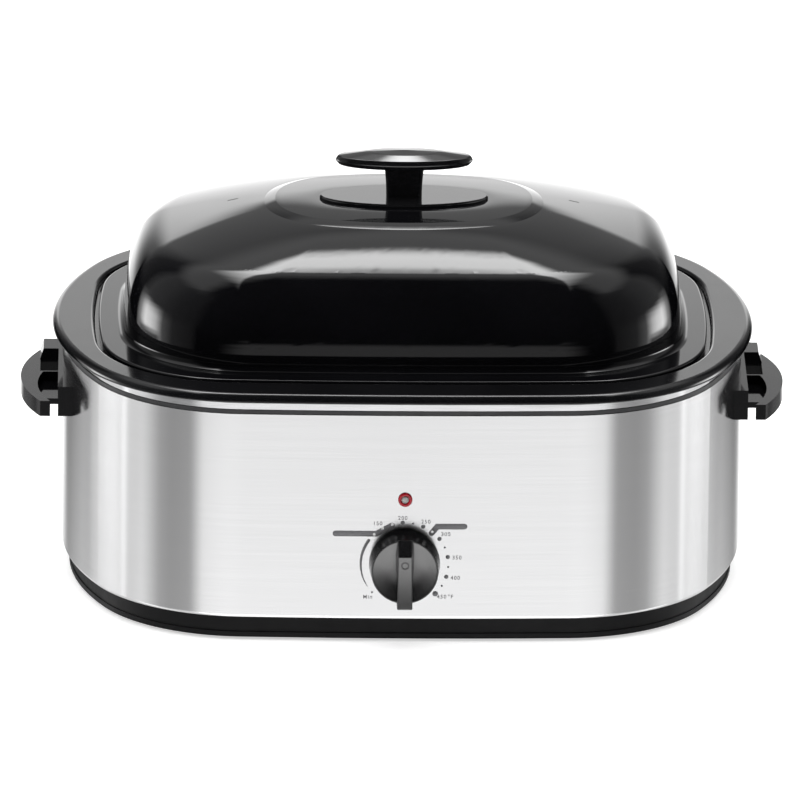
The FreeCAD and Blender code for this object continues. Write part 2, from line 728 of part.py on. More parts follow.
def lid_stop(root, wall, back, top):
    """The raised block at the back of a handle that a lid leans on, narrower at its top."""
    high = top + STOP_RISE
    reach = wall + STOP_REACH
    face = Part.Face(Part.makePolygon([
        V(root, 0, top), V(reach, 0, top), V(reach - STOP_SLOPE, 0, high), V(root, 0, high), V(root, 0, top),
    ]))
    face.translate(V(0, back - STOP_LENGTH, 0))
    return face.extrude(V(0, STOP_LENGTH, 0))


def inner_wall_x(y):
    """How far out the inside of the shell's side lies at y."""
    return SHELL.half_width - SHELL.side + math.sqrt((SHELL.side - SHELL_SHEET) ** 2 - y**2)


def handle_screws():
    """Screws from inside the shell, each with its washer against the curved wall."""
    screws = []
    for side in (-1, 1):
        for point in handle_screw_points(side):
            reach = inner_wall_x(abs(point.y) + WASHER_RADIUS) - WASHER_SHEET
            outward = V(side, 0, 0)
            seat = V(side * reach, point.y, point.z)
            length = SHELL.half_width + PLATE_REACH - SEAT_GAP * 2 - reach
            screws.append(screw(seat, outward, length, radius=HANDLE_SCREW_RADIUS))
    return Part.makeCompound(screws)


def handle_washers():
    washers = []
    for side in (-1, 1):
        for point in handle_screw_points(side):
            outer = inner_wall_x(abs(point.y) + WASHER_RADIUS)
            start = V(side * (outer - WASHER_SHEET), point.y, point.z)
            end = V(side * outer, point.y, point.z)
            washer = rod(start, end, WASHER_RADIUS).cut(rod(start, end, HANDLE_SCREW_RADIUS + SLIP))
            washers.append(washer)
    return Part.makeCompound(washers)


# ---- dial knob and thermostat, drawn in the dial's axes ----
def dial_knob():
    disc = Part.makeCone(KNOB_BASE_RADIUS, KNOB_FACE_RADIUS, KNOB_DISC)
    rim = [e for e in disc.Edges if abs(e.CenterOfMass.z - KNOB_DISC) < TOUCH]
    disc = disc.makeFillet(KNOB_EDGE, rim)
    half = KNOB_GRIP_WIDTH / 2
    side_view = Part.Face(rounded_loop([
        (V(-half, KNOB_FACE_RADIUS, KNOB_DISC / 2), KNOB_GRIP_ROOT_BEND),
        (V(-half, KNOB_FACE_RADIUS, KNOB_DISC), KNOB_GRIP_FOOT_BEND),
        (V(-half, KNOB_GRIP_START, KNOB_GRIP_TOP), KNOB_GRIP_SHOULDER),
        (V(-half, -KNOB_GRIP_END, KNOB_GRIP_TOP), KNOB_GRIP_FOOT_BEND),
        (V(-half, -KNOB_GRIP_END, KNOB_GRIP_UNDERCUT), KNOB_GRIP_EDGE),
        (V(-half, -KNOB_FACE_RADIUS / 2, KNOB_GRIP_UNDERCUT), KNOB_GRIP_ROOT_BEND),
    ]))
    grip = side_view.extrude(V(KNOB_GRIP_WIDTH, 0, 0))
    flank_edges = [e for e in grip.Edges if abs(abs(e.CenterOfMass.x) - half) < TOUCH]
    grip = grip.makeFillet(KNOB_GRIP_EDGE, [e for e in flank_edges if e.BoundBox.ZMax > KNOB_DISC])
    knob = disc.fuse(grip)
    recess = Part.makeCylinder(KNOB_RECESS_RADIUS, KNOB_RECESS).cut(
        Part.makeCylinder(KNOB_HUB_RADIUS, KNOB_RECESS)
    )
    knob = knob.cut(recess)
    knob = knob.cut(d_shaft(SHAFT_RADIUS + RUN_FIT, SHAFT_FLAT + RUN_FIT, 0, SHAFT_IN_KNOB + SEAT_GAP))
    mark_bottom = V(0, KNOB_RING_PLACE, KNOB_GRIP_TOP - KNOB_RING_DEPTH)
    mark = Part.makeCylinder(KNOB_RING_RADIUS, KNOB_RING_DEPTH, mark_bottom)
    mark = mark.cut(Part.makeCylinder(KNOB_RING_RADIUS - KNOB_RING_WIDTH, KNOB_RING_DEPTH, mark_bottom))
    knob = knob.cut(mark)
    knob.translate(V(0, 0, KNOB_GAP))
    return to_front(knob, DIAL_HEIGHT)


def rounded_loop(corners):
    """A closed wire through (point, radius) corners, with an arc at each of them."""
    start = (corners[0][0] + corners[-1][0]) * 0.5
    return rounded_path([(start, 0)] + corners + [(start, 0)])


def d_shaft(radius, flat, bottom, top):
    """A shaft with one flat side, which lies at a distance from its middle."""
    shaft = Part.makeCylinder(radius, top - bottom, V(0, 0, bottom))
    return shaft.cut(box(-radius, radius, flat, radius * 2, bottom, top))


def body_front():
    """Where the front of the thermostat's body lies, behind the shell and the bracket."""
    return -(SHELL_SHEET + CURVE_GAP + BRACKET_SHEET)


def thermostat_shaft():
    front = body_front()
    shaft = Part.makeCylinder(SHAFT_RADIUS, SHAFT_IN_BODY + KNOB_GAP - front, V(0, 0, front - SHAFT_IN_BODY))
    shaft = shaft.fuse(d_shaft(SHAFT_RADIUS, SHAFT_FLAT, KNOB_GAP, KNOB_GAP + SHAFT_IN_KNOB))
    collar = Part.makeCylinder(COLLAR_RADIUS, COLLAR_WIDTH, V(0, 0, front - SHAFT_IN_BODY / 2))
    return to_front(shaft.fuse(collar), DIAL_HEIGHT)


def knob_spring():
    """A split ring that grips the knob's hub."""
    inner = KNOB_HUB_RADIUS + SLIP
    bottom = V(0, 0, KNOB_GAP + KNOB_RECESS / 2 - SPRING_WIDTH / 2)
    spring = Part.makeCylinder(inner + SPRING_SHEET, SPRING_WIDTH, bottom)
    spring = spring.cut(Part.makeCylinder(inner, SPRING_WIDTH, bottom))
    gap = SPRING_WIDTH
    spring = spring.cut(box(-gap / 2, gap / 2, 0, inner * 2, 0, KNOB_RECESS * 2))
    return to_front(spring, DIAL_HEIGHT)


def thermostat_body():
    front = body_front()
    half = THERMOSTAT_SIZE / 2
    body = box(-half, half, -half, half, front - THERMOSTAT_DEPTH, front)
    body = body.fuse(Part.makeCylinder(BUSH_RADIUS, -front, V(0, 0, front)))
    bore = Part.makeCylinder(
        SHAFT_RADIUS + RUN_FIT, SHAFT_IN_BODY - front + SEAT_GAP, V(0, 0, front - SHAFT_IN_BODY - SEAT_GAP)
    )
    collar_room = Part.makeCylinder(
        COLLAR_RADIUS + SEAT_GAP, COLLAR_WIDTH + SEAT_GAP * 2, V(0, 0, front - SHAFT_IN_BODY / 2 - SEAT_GAP)
    )
    body = body.cut(bore).cut(collar_room)
    for x in (-THERMOSTAT_SCREW_PITCH / 2, THERMOSTAT_SCREW_PITCH / 2):
        body = body.cut(Part.makeCylinder(SCREW_RADIUS + SLIP, SCREW_LENGTH, V(x, 0, front - SCREW_LENGTH)))
    return to_front(body, DIAL_HEIGHT)


def thermostat_bracket():
    back = body_front()
    half_width = BRACKET_WIDTH / 2
    half_height = BRACKET_HEIGHT / 2
    plate = box(-half_width, half_width, -half_height, half_height, back, back + BRACKET_SHEET)
    plate = plate.cut(sheet_hole(V(0, 0, back), UP, BUSH_RADIUS + SLIP))
    for x in (-THERMOSTAT_SCREW_PITCH / 2, THERMOSTAT_SCREW_PITCH / 2):
        plate = plate.cut(sheet_hole(V(x, 0, back), UP, SCREW_RADIUS + SLIP))
    return to_front(plate, DIAL_HEIGHT)


def thermostat_screws():
    """Two screws behind the knob, with their heads on the shell."""
    screws = []
    for x in (-THERMOSTAT_SCREW_PITCH / 2, THERMOSTAT_SCREW_PITCH / 2):
        screws.append(to_front(screw(V(x, 0, 0), -UP, SCREW_LENGTH), DIAL_HEIGHT))
    return Part.makeCompound(screws)


def thermostat_middle_y():
    return FRONT - body_front() + THERMOSTAT_DEPTH / 2


def bulb_height():
    return (SHIELD_HEIGHT + SHIELD_SHEET + WELL_FLOOR - WELL_SHEET) / 2


def thermostat_bulb():
    """The sensing bulb under the well and the thin tube that joins it to the thermostat."""
    y = thermostat_middle_y()
    z = bulb_height()
    bulb_front = -BULB_END_Y - BULB_LENGTH
    capillary = tube(
        [
            (V(BULB_X, y, DIAL_HEIGHT - THERMOSTAT_SIZE / 2), 0),
            (V(BULB_X, y, z), CAPILLARY_BEND),
            (V(BULB_X, bulb_front + BULB_RADIUS, z), 0),
        ],
        CAPILLARY_RADIUS,
    )
    return capillary.fuse(rod(V(BULB_X, bulb_front, z), V(BULB_X, -BULB_END_Y, z), BULB_RADIUS))


def bulb_clip():
    """A saddle under the well's floor that holds the bulb."""
    y = -BULB_END_Y - BULB_LENGTH / 2
    z = bulb_height()
    saddle = box(
        BULB_X - CLIP_WIDTH / 2, BULB_X + CLIP_WIDTH / 2, y - CLIP_LENGTH / 2, y + CLIP_LENGTH / 2,
        z, WELL_FLOOR - WELL_SHEET,
    )
    return saddle.cut(rod(V(BULB_X, y - CLIP_LENGTH, z), V(BULB_X, y + CLIP_LENGTH, z), BULB_RADIUS + SLIP))


# ---- pilot lamp ----
def lamp_lens():
    rim = Part.makeCylinder(LAMP_RADIUS, LAMP_RIM)
    rim = rim.makeFillet(LAMP_RIM / 2, [e for e in rim.Edges if abs(e.CenterOfMass.z - LAMP_RIM) < TOUCH])
    barrel = Part.makeCylinder(LAMP_BARREL_RADIUS, LAMP_BARREL, V(0, 0, -LAMP_BARREL))
    return to_front(rim.fuse(barrel), LAMP_HEIGHT)


def lamp_holder():
    """A sleeve that holds the lamp's barrel from inside the shell."""
    front = -(SHELL_SHEET + SLIP)
    sleeve = Part.makeCylinder(LAMP_HOLDER_RADIUS, LAMP_HOLDER_LENGTH, V(0, 0, front - LAMP_HOLDER_LENGTH))
    sleeve = sleeve.cut(
        Part.makeCylinder(LAMP_BARREL_RADIUS + SLIP, LAMP_HOLDER_LENGTH, V(0, 0, front - LAMP_HOLDER_LENGTH))
    )
    return to_front(sleeve, LAMP_HEIGHT)


# ---- power inlet ----
def cord_gland():
    back = SHELL.half_depth
    outward = V(0, 1, 0)
    start = V(0, back - SHELL_SHEET - GLAND_INSIDE, GLAND_HEIGHT)
    body = Part.makeCylinder(GLAND_BODY_RADIUS, GLAND_INSIDE + SHELL_SHEET, start, outward)
    flange = Part.makeCylinder(GLAND_FLANGE_RADIUS, GLAND_FLANGE, V(0, back, GLAND_HEIGHT), outward)
    outer_edge = [e for e in flange.Edges if abs(e.CenterOfMass.y - back - GLAND_FLANGE) < TOUCH]
    flange = flange.makeFillet(GLAND_FLANGE / 3, outer_edge)
    bore = Part.makeCylinder(GLAND_BORE_RADIUS, GLAND_INSIDE + SHELL_SHEET + GLAND_FLANGE, start, outward)
    return body.fuse(flange).cut(bore)


def gland_nut():
    front = SHELL.half_depth - SHELL_SHEET - SLIP - GLAND_NUT
    corners = [
        V(GLAND_NUT_RADIUS * math.cos(math.radians(60 * k)), front,
          GLAND_HEIGHT + GLAND_NUT_RADIUS * math.sin(math.radians(60 * k)))
        for k in range(7)
    ]
    nut = Part.Face(Part.makePolygon(corners)).extrude(V(0, GLAND_NUT, 0))
    hole = Part.makeCylinder(GLAND_BODY_RADIUS + SLIP, GLAND_NUT, V(0, front, GLAND_HEIGHT), V(0, 1, 0))
    return nut.cut(hole)


def terminal_y():
    return SHELL.half_depth - TERMINAL_INSET


def terminal_pole_x(pole):
    pitch = TERMINAL_LENGTH / TERMINAL_POLES
    return (pole - (TERMINAL_POLES - 1) / 2) * pitch


def terminal_block():
    half = TERMINAL_LENGTH / 2
    y = terminal_y()
    top = TRAY_INSIDE + TERMINAL_HEIGHT
    block = box(-half, half, y - TERMINAL_DEPTH / 2, y + TERMINAL_DEPTH / 2, TRAY_INSIDE, top)
    for pole in range(TERMINAL_POLES):
        centre = V(terminal_pole_x(pole), y, top)
        block = block.cut(rod(centre - UP * TERMINAL_HEIGHT / 2, centre, SCREW_HEAD_RADIUS + SLIP))
    return block


def terminal_screws():
    screws = []
    for pole in range(TERMINAL_POLES):
        bottom = V(terminal_pole_x(pole), terminal_y(), TRAY_INSIDE + TERMINAL_HEIGHT / 2)
        screws.append(screw(bottom + UP * SCREW_HEAD * 2, -UP, SCREW_HEAD * 2))
    return Part.makeCompound(screws)


def lead_wires():
    """Two supply wires to the thermostat, two on to the heating band, and two up to the lamp."""
    wires = []
    y = thermostat_middle_y()
    bottom = DIAL_HEIGHT - THERMOSTAT_SIZE / 2
    corridor = FRONT + WIRE_CORRIDOR
    turn = bulb_height()
    for x in (-WIRE_PITCH * 2, -WIRE_PITCH):
        wires.append(tube(
            [
                (V(x, terminal_y() - TERMINAL_DEPTH / 2, WIRE_HEIGHT), 0),
                (V(x, corridor, WIRE_HEIGHT), WIRE_BEND),
                (V(x, corridor, turn), WIRE_BEND),
                (V(x, y, turn), WIRE_TIGHT_BEND),
                (V(x, y, bottom), 0),
            ],
            WIRE_RADIUS,
        ))
    stud = band_front() - BAND_STUD_LENGTH
    stud_height = BAND_BOTTOM + BAND_HEIGHT / 2
    for x in (-BAND_STUD_X, BAND_STUD_X):
        inner = math.copysign(THERMOSTAT_SIZE / 2 - WIRE_RADIUS * 2, x)
        wires.append(tube(
            [
                (V(inner, y, DIAL_HEIGHT + THERMOSTAT_SIZE / 2), 0),
                (V(inner, y, stud_height), WIRE_TIGHT_BEND),
                (V(x, stud - SEAT_GAP, stud_height), 0),
            ],
            WIRE_RADIUS,
        ))
    for x in (-WIRE_RADIUS * 1.5, WIRE_RADIUS * 1.5):
        lamp_bottom = LAMP_HEIGHT - LAMP_HOLDER_RADIUS
        lamp_back = FRONT + SHELL_SHEET + LAMP_HOLDER_LENGTH / 2
        wires.append(tube(
            [
                (V(x, lamp_back, lamp_bottom), 0),
                (V(x, lamp_back, lamp_bottom - WIRE_BEND), WIRE_LAMP_BEND),
                (V(x, y, DIAL_HEIGHT + THERMOSTAT_SIZE / 2 + WIRE_BEND), WIRE_LAMP_BEND),
                (V(x, y, DIAL_HEIGHT + THERMOSTAT_SIZE / 2), 0),
            ],
            WIRE_RADIUS,
        ))
    return Part.makeCompound(wires)


# ---- roasting pan and rack ----
def roasting_pan():
    """Three rings of one pressed sheet that overlap on its flats: rolled rim, lid seat and vessel."""
    rim = [
        (-RIM_OVERHANG + RIM_ROLL, RIM_TOP - RIM_ROLL, 0),
        (-RIM_OVERHANG, RIM_TOP - RIM_ROLL, RIM_ROLL / 2),
        (-RIM_OVERHANG, RIM_TOP, RIM_ROLL / 2),
        (RIM_EDGE_INSET * RIM_FLAT_SHARE, RIM_TOP, 0),
    ]
    seat = [
        (-RIM_EDGE_INSET * RIM_LAP_SHARE, RIM_TOP, 0),
        (0, RIM_TOP, RIM_EDGE_BEND),
        (0, LEDGE, LEDGE_BEND),
        (PAN_INSET - PAN_MOUTH_BEND - LEDGE_CLEAR - RIM_EDGE_INSET, LEDGE, 0),
    ]
    body = [
        (RIM_EDGE_INSET + PAN_SHEET + LEDGE_CLEAR, LEDGE, 0),
        (PAN_INSET, LEDGE, PAN_MOUTH_BEND),
        (PAN_INSET + PAN_TAPER, PAN_FLOOR, PAN_BOTTOM_BEND),
        (PAN_INSET + PAN_TAPER + PAN_BOTTOM_BEND + FLOOR_LAP, PAN_FLOOR, 0),
    ]
    rings = [
        swept(sheet_profile(rim, PAN_SHEET), SHELL),
        swept(sheet_profile(seat, PAN_SHEET), MOUTH),
        vessel(body, PAN_SHEET, PAN_FLOOR),
    ]
    return rings[0].multiFuse(rings[1:]).removeSplitter()


def roasting_rack():
    deck = PAN_FLOOR + SEAT_GAP + RACK_LEG + RACK_WIRE_RADIUS
    plan = inset(SHELL, RACK_INSET)
    frame = swept(Part.Face(Part.Wire(Part.makeCircle(RACK_WIRE_RADIUS, V(), V(0, 1, 0)))), plan)
    frame.translate(UP * deck)
    pieces = []
    bars = deck + RACK_BAR_LIFT
    first = -(RACK_BARS - 1) / 2 * RACK_BAR_PITCH
    for number in range(RACK_BARS):
        x = first + number * RACK_BAR_PITCH
        reach = outline_y(plan, x) - RACK_BAR_SETBACK
        pieces.append(rod(V(x, -reach, bars), V(x, reach, bars), RACK_BAR_RADIUS))
    leg_x = RACK_LEG_BAR * RACK_BAR_PITCH
    leg_y = outline_y(plan, leg_x) - RACK_LEG_SETBACK
    for point in at_corners(leg_x, leg_y):
        pieces.append(rod(point + UP * (PAN_FLOOR + SEAT_GAP), point + UP * bars, RACK_BAR_RADIUS))
    for x in (-RACK_LOOP_X, RACK_LOOP_X):
        half = RACK_LOOP_WIDTH / 2
        pieces.append(tube(
            [
                (V(x, -half, deck), 0),
                (V(x, -half, deck + RACK_LOOP_HEIGHT), RACK_LOOP_BEND),
                (V(x, half, deck + RACK_LOOP_HEIGHT), RACK_LOOP_BEND),
                (V(x, half, deck), 0),
            ],
            RACK_LOOP_RADIUS,
        ))
    return frame.multiFuse(pieces)


def outline_y(plan, x):
    """Half the depth of an outline at x."""
    side, front, centre = quarter(plan)
    x = abs(x)
    if x < front.x:
        return plan.half_depth - plan.front + math.sqrt(plan.front**2 - x**2)
    return centre.y + math.sqrt(plan.corner**2 - (x - centre.x) ** 2)


# ---- lid ----
def platform_plan():
    return Plan(PLATFORM_WIDTH / 2, PLATFORM_DEPTH / 2, PLATFORM_CORNER, PLATFORM_SIDE, PLATFORM_FRONT)


def crown(share):
    """How far the dome's crown rises over a share of the way from its foot to the platform."""
    return CROWN_RISE * share * (1 + CROWN_BOW * (1 - share))


def dome(sheet):
    """The dome as a solid, drawn inwards by a sheet: foot fillet, wall, shoulder and bowed crown."""
    foot = inset(MOUTH, DOME_INSET)._replace(corner=SHELL.corner * DOME_CORNER_SHARE)
    top = platform_plan()
    sections = []
    for step in range(FOOT_STEPS):
        angle = math.radians(90 * step / FOOT_STEPS)
        spread = FOOT_FILLET * (1 - math.sin(angle))
        rise = FOOT_FILLET * (1 - math.cos(angle))
        sections.append((inset(foot, -spread), LID_FLANGE - FOOT_SINK + rise))
    for step in range(SHOULDER_STEPS + 1):
        angle = math.radians(90 * step / SHOULDER_STEPS)
        power = 2 / SHOULDER_POWER
        share = SHOULDER_SHARE * (1 - abs(math.cos(angle)) ** power)
        rise = FOOT_FILLET + (SHOULDER_RISE - FOOT_FILLET) * math.sin(angle) ** power + crown(share)
        sections.append((blend(foot, top, share), LID_FLANGE + rise))
    for step in range(1, CROWN_STEPS + 1):
        share = SHOULDER_SHARE + (1 - SHOULDER_SHARE) * step / CROWN_STEPS
        sections.append((blend(foot, top, share), LID_FLANGE + SHOULDER_RISE + crown(share)))
    wires = [outline(inset(plan, sheet), height - sheet) for plan, height in sections]
    return Part.makeLoft(wires, True, False)


def platform(sheet):
    """The raised oval on top of the dome, with a sloping edge."""
    lower = outline(inset(platform_plan(), sheet), PLATFORM_FOOT - LID_SHEET)
    middle = outline(inset(platform_plan(), sheet), PLATFORM_FOOT)
    upper = outline(inset(platform_plan(), PLATFORM_EDGE + sheet), PLATFORM_TOP - sheet)
    return Part.makeLoft([lower, middle, upper], True, True)


def lid_shell():
    flange = sheet_profile(
        [
            (LID_GAP, LID_EDGE_BOTTOM, 0),
            (LID_GAP, LID_FLANGE, LID_EDGE_BEND),
            (DOME_INSET + FLANGE_LAP, LID_FLANGE, 0),
        ],
        LID_SHEET,
    )
    body = swept(flange, MOUTH).fuse(dome(0)).fuse(platform(0))
    lid = body.cut(dome(LID_SHEET)).cut(platform(LID_SHEET))
    vent_x = PLATFORM_WIDTH / 2 + VENT_SETBACK
    for x in (-vent_x, vent_x):
        left = x - VENT_LENGTH / 2
        front = VENT_Y - VENT_WIDTH / 2
        lid = lid.cut(box(left, left + VENT_LENGTH, front, front + VENT_WIDTH, LID_FLANGE, PLATFORM_TOP))
    return lid.cut(rod(UP * LID_FLANGE, UP * PLATFORM_TOP, LID_SCREW_RADIUS + SLIP))


def oval(width, depth, height):
    curve = Part.Ellipse(V(0, 0, height), width / 2, depth / 2)
    return Part.Wire(curve.toShape())


def lid_escutcheon():
    lower = oval(ESCUTCHEON_WIDTH, ESCUTCHEON_DEPTH, PLATFORM_TOP)
    middle = oval(ESCUTCHEON_WIDTH, ESCUTCHEON_DEPTH, ESCUTCHEON_TOP - ESCUTCHEON_CHAMFER)
    trim = ESCUTCHEON_CHAMFER * 2
    upper = oval(ESCUTCHEON_WIDTH - trim, ESCUTCHEON_DEPTH - trim, ESCUTCHEON_TOP)
    plate = Part.makeLoft([lower, middle, upper], True, True)
    return plate.cut(rod(UP * PLATFORM_TOP, UP * ESCUTCHEON_TOP, LID_SCREW_RADIUS + SLIP))


def rounded_rectangle(width, depth, corner, height):
    x = width / 2
    y = depth / 2
    points = [V(x, y, height), V(-x, y, height), V(-x, -y, height), V(x, -y, height)]
    return rounded_loop([(point, corner) for point in points])


def lid_knob():
    """A domed oval cap on a waisted stem, with a blind hole for its screw."""
    radius = CAP_WIDTH / 2
    edge = STEM_TOP + CAP_EDGE
    bottom = V(0, 0, STEM_TOP)
    bottom_rim = V(radius - CAP_EDGE, 0, STEM_TOP)
    edge_middle = V(radius - CAP_EDGE / 4, 0, STEM_TOP + CAP_EDGE / 3)
    rim = V(radius, 0, edge)
    bulge = V(radius * CAP_BULGE_PLACE, 0, edge + CAP_CROWN * CAP_BULGE_RISE)
    crest = V(0, 0, edge + CAP_CROWN)
    profile = Part.Face(Part.Wire([
        Part.makeLine(bottom, bottom_rim),
        Part.Arc(bottom_rim, edge_middle, rim).toShape(),
        Part.Arc(rim, bulge, crest).toShape(),
        Part.makeLine(crest, bottom),
    ]))
    cap = profile.revolve(V(), UP, 360)
    squeeze = FreeCAD.Matrix()
    squeeze.scale(1, CAP_DEPTH / CAP_WIDTH, 1)
    cap = cap.transformGeometry(squeeze)
    stem = Part.makeLoft(
        [
            rounded_rectangle(STEM_FOOT_WIDTH, STEM_FOOT_DEPTH, STEM_CORNER, ESCUTCHEON_TOP),
            rounded_rectangle(STEM_TOP_WIDTH, STEM_TOP_DEPTH, STEM_CORNER, STEM_TOP + CAP_EDGE / 2),
        ],
        True, True,
    )
    hole_top = lid_screw_seat() + LID_SCREW_LENGTH + SEAT_GAP
    return cap.fuse(stem).cut(rod(UP * ESCUTCHEON_TOP, UP * hole_top, LID_SCREW_RADIUS + SLIP))


def lid_screw_seat():
    return PLATFORM_TOP - LID_SHEET - LID_WASHER_SHEET


def knob_washer():
    start = UP * lid_screw_seat()
    end = UP * (PLATFORM_TOP - LID_SHEET)
    return rod(start, end, LID_WASHER_RADIUS).cut(rod(start, end, LID_SCREW_RADIUS + SLIP))


def knob_screw():
    return screw(UP * lid_screw_seat(), UP, LID_SCREW_LENGTH, LID_SCREW_RADIUS, LID_SCREW_RADIUS * 2)


PARTS = {
    "outer_shell": outer_shell,
    "trim_seal": trim_seal,
    "top_trim": top_trim,
    "heating_well": heating_well,
    "heating_band": heating_band,
    "band_clamps": band_clamps,
    "insulation_blanket": insulation_blanket,
    "heat_shield": heat_shield,
    "shield_screws": shield_screws,
    "base_tray": base_tray,
    "base_screws": base_screws,
    "feet": feet,
    "foot_screws": foot_screws,
    "handle_left": lambda: handle(-1),
    "handle_right": lambda: handle(1),
    "handle_screws": handle_screws,
    "handle_washers": handle_washers,
    "thermostat_body": thermostat_body,
    "thermostat_bracket": thermostat_bracket,
    "thermostat_screws": thermostat_screws,
    "thermostat_bulb": thermostat_bulb,
    "bulb_clip": bulb_clip,
    "lamp_lens": lamp_lens,
    "lamp_holder": lamp_holder,
    "terminal_block": terminal_block,
    "terminal_screws": terminal_screws,
    "cord_gland": cord_gland,
    "gland_nut": gland_nut,
    "lead_wires": lead_wires,
    "dial_knob": dial_knob,
    "thermostat_shaft": thermostat_shaft,
    "knob_spring": knob_spring,
    "roasting_pan": roasting_pan,
    "roasting_rack": roasting_rack,
    "lid_shell": lid_shell,
    "lid_escutcheon": lid_escutcheon,
    "lid_knob": lid_knob,
    "knob_screw": knob_screw,
    "knob_washer": knob_washer,
}


def write_parts():
    os.makedirs("parts", exist_ok=True)
    for name, make in PARTS.items():
        shape = make()
        shape.translate(MIDDLE_SHIFT)
        shape.exportStep(os.path.join("parts", name + ".step"))
        box_size = shape.BoundBox
        print(
            f"{name}: {len(shape.Solids)} solids, valid {shape.isValid()}, {shape.Volume / 1000:.2f} cm3, "
            f"x {box_size.XMin:.1f}..{box_size.XMax:.1f} y {box_size.YMin:.1f}..{box_size.YMax:.1f} "
            f"z {box_size.ZMin:.1f}..{box_size.ZMax:.1f}"
        )


write_parts()
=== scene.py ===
import json
import math
from collections import namedtuple

import bpy
from mathutils import Matrix, Vector
from mathutils.kdtree import KDTree


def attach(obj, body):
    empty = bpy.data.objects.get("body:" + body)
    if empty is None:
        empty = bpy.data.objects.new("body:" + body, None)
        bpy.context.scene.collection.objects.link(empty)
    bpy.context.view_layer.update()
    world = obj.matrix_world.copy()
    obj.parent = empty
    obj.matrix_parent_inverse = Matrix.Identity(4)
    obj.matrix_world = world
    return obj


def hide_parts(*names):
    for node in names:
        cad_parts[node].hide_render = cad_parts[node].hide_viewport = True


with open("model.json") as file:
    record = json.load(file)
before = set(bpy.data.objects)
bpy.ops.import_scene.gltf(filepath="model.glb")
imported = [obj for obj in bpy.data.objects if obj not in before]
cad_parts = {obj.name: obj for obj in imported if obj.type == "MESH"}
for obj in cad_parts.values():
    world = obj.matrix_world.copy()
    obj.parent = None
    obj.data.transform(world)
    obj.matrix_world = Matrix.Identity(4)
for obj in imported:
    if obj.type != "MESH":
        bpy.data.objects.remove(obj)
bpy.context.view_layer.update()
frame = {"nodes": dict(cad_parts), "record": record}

# Looks of the electric roaster oven. Sizes are in millimetres and become metres as a mesh is made.
# +X is to the right, -Y is the front with the dial, +Z is up. An inset is a distance inwards from
# the outline of the steel shell, whose middle lies MIDDLE_Y behind the origin. A profile is a row of
# (half width, height, bend) corners. A share runs from 0 to 1 along whatever it is a share of.

MM = 0.001
Plan = namedtuple("Plan", "half_width half_depth corner side front")

# ---- shell and roasting pan ----
SHELL = Plan(276.7, 206.5, 133.0, 295.0, 3300.0)
MIDDLE_Y = 10.0
FRONT_Y = MIDDLE_Y - SHELL.half_depth
RIM_TOP = 212.7
RIM_OVERHANG = 8.6
RIM_ROLL = 7.2
RIM_EDGE_BEND = 1.2
RIM_WIDTH = 25.0
RIM_INNER_BEND = 2.6
MOUTH = Plan(SHELL.half_width - RIM_WIDTH, SHELL.half_depth - RIM_WIDTH, 113.0, 905.0, 3275.0)
LEDGE = 206.1
LEDGE_BEND = 1.6
LEDGE_START = 29.0               # inset where the mouth's outline begins to turn into the shell's,
LEDGE_END = 40.0                 # and where it has done so
PAN_SHEET = 1.0
PAN_INSET = 47.0
PAN_MOUTH_BEND = 4.0
PAN_TAPER = 8.0
PAN_FLOOR = 55.1
PAN_BOTTOM_BEND = 25.0
PAN_FLOOR_INSET = 84.0           # of the floor's last ring, within which it is a fan

# ---- lid ----
LID_SHEET = 1.0
LID_GAP = 4.0
LID_EDGE_BOTTOM = 206.4
LID_FLANGE = 212.9
LID_EDGE_BEND = 1.8
DOME_FOOT = Plan(226.7, 156.5, 105.0, 880.0, 3250.0)
FOOT_FILLET = 6.0
SHOULDER_SHARE = 0.33
SHOULDER_RISE = 62.3
SHOULDER_POWER = 2.5
CROWN_RISE = 33.7
CROWN_BOW = 0.41
PLATFORM = Plan(113.5, 76.0, 66.0, 84.0, 240.0)
PLATFORM_FOOT = 308.9
PLATFORM_TOP = 312.0
PLATFORM_SLOPE = 9.0
PLATFORM_ROUND = 45.0
PLATFORM_CROWN = 1.9
SLOPE_BOW = 0.15
VENT_X = 139.0
VENT_Y = 20.0
VENT_LENGTH = 8.5
VENT_WIDTH = 1.5
VENT_CORNER = 0.7
VENT_CUT = (272.9, 332.9)        # heights that the cutter of a vent spans
SAME_FACE = 0.7                  # least cosine between a cut face and a normal that it takes over

# ---- plate and knob of the lid ----
PLATE_TOP = 315.0
PLATE_HALF_WIDTH = 68.5
PLATE_HALF_DEPTH = 29.0
PLATE_EDGE = ((0.0, 3.6), (0.0, 1.5), (0.3, 1.2), (1.2, 0.15), (1.6, 0.0))     # (inset, depth below the top)
PLATE_HUB = (20.0, 8.0)          # half sizes of the top's last ring
STEM_TOP = 341.0
STEM_LAP = 1.5                   # into the cap
STEM_HALF_WIDTH = 14.5
STEM_HALF_DEPTH = 8.0
STEM_FLARE_WIDTH = 2.0
STEM_FLARE_DEPTH = 1.5
STEM_CORNER = 4.0
STEM_STEPS = 12
CAP_DEPTH_RATIO = 40.0 / 112.0
CAP_PROFILE = (
    (4.0, 0.0, 0.0), (53.0, 0.0, 2.5), (56.0, 3.6, 1.8), (54.0, 7.5, 2.5), (30.0, 10.9, 60.0),
    (1.0, 12.0, 0.0),
)

